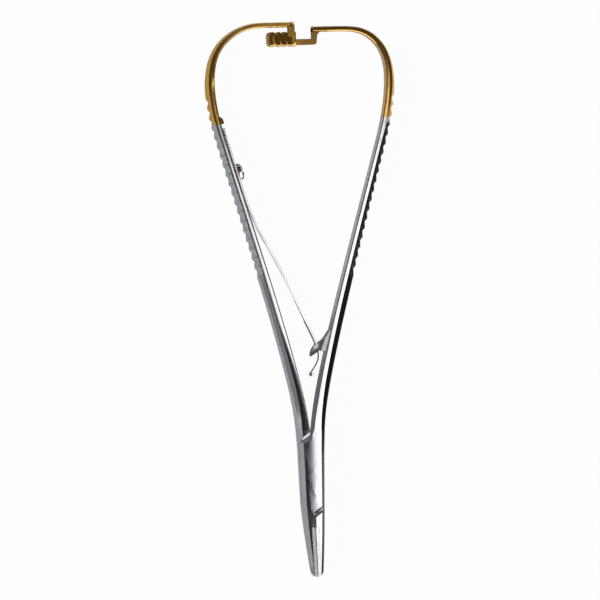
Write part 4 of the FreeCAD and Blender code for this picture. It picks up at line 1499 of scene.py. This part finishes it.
    def add_tent(self) -> None:
        """A half tube over the object and the flat cards, seen in reflections alone."""
        count = 65
        turn = np.radians(np.linspace(-90.0, 90.0, count))
        arc = np.stack([np.sin(turn), np.cos(turn)], axis=1) * self.tent_radius
        rows = [np.column_stack([arc[:, 0], np.full(count, y), arc[:, 1]]) for y in self.tent_ends]
        faces = [(n, n + 1, n + count + 1, n + count) for n in range(count - 1)]
        tent = self.add_sheet("tent", np.concatenate(rows), faces)
        material, bench = self.new_material("tent_cards")
        self.close_card(tent, material, bench, self.tent_colour(bench), self.tent_strength)
        for card in CARDS:
            sheet = self.add_sheet(card.name, card.corners)
            material, bench = self.new_material(card.name)
            colour = card.colour
            if card.upper:
                share = bench.ramp(bench.part(bench.place(), "Z"), *card.change)
                colour = bench.mix(share, colour, card.upper)
            self.close_card(sheet, material, bench, colour, card.strength)

    def new_material(self, name: str) -> tuple[bpy.types.Material, Bench]:
        """An empty material and a bench for its nodes."""
        material = bpy.data.materials.new(name)
        material.use_nodes = True
        material.node_tree.nodes.clear()
        return material, Bench(material.node_tree)

    def close_card(self, card: bpy.types.Object, material: bpy.types.Material, bench: Bench, colour: object,
                   strength: float) -> None:
        """Lets a card shine in reflections and hides it from everything else."""
        value = colour if isinstance(colour, bpy.types.NodeSocket) else (*colour, 1.0)
        shine = bench.node("ShaderNodeEmission", Color=value, Strength=strength)
        bench.node("ShaderNodeOutputMaterial", Surface=shine.outputs[0])
        card.data.materials.append(material)
        card.visible_camera = card.visible_diffuse = card.visible_shadow = card.visible_transmission = False

    def add_lamp(self) -> None:
        """A soft panel low on the left that lights the floor."""
        data = bpy.data.lights.new("left_panel", "AREA")
        data.shape, data.size, data.size_y = "RECTANGLE", 0.12, 0.5
        data.energy = 1.9
        lamp = link_object("left_panel", data)
        (distance, along), height = self.lamp_place, math.radians(self.lamp_height)
        lamp.location = (-distance * math.cos(height), along, distance * math.sin(height))
        lamp.rotation_euler = (0.0, height - math.pi / 2, 0.0)
        lamp.visible_glossy = False

    def build(self) -> None:
        """Sets up the whole studio."""
        self.add_camera()
        self.add_floor()
        self.add_world()
        self.add_tent()
        self.add_lamp()
        bpy.context.scene.view_settings.view_transform = "Standard"
        log.info("studio ready")


def main() -> None:
    """Loads the frame, builds the studio and each sub-assembly, and gives the pin its finish."""
    logging.basicConfig(level=logging.INFO, format="%(message)s")
    for old in list(bpy.data.objects):
        bpy.data.objects.remove(old)
    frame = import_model()
    bpy.context.view_layer.update()
    Studio().build()
    effects = Effects()
    materials = {finish: finish.build(effects) for finish in FINISHES}
    right = Handle(Side.RIGHT, bar_y=136.5, bar_end=4.3, crown_place=0.0, shoulder=(
        (0.984, 0.323), (0.890, 0.619), (0.696, 0.852), (0.464, 0.968), (0.232, 0.997)))
    left = Handle(Side.LEFT, bar_y=138.1, bar_end=2.1, crown_run=34.0, crown_place=0.8, crown_slope=0.18,
                  crown_end=114.0, flat_more=0.35, shoulder=(
        (0.972, 0.310), (0.878, 0.561), (0.696, 0.772), (0.464, 0.918), (0.232, 0.986)))
    BoxArm(right).dress(frame, materials)
    TongueArm(left).dress(frame, materials)
    LeafSpring(left).dress(materials)
    SpringScrew(left).dress(materials)
    for side in Side:
        Insert(side).dress(materials)
    pin = frame["nodes"]["joint_pin"]
    pin.data.materials.clear()
    pin.data.materials.append(materials[PIN])


if __name__ == "__main__":
    main()
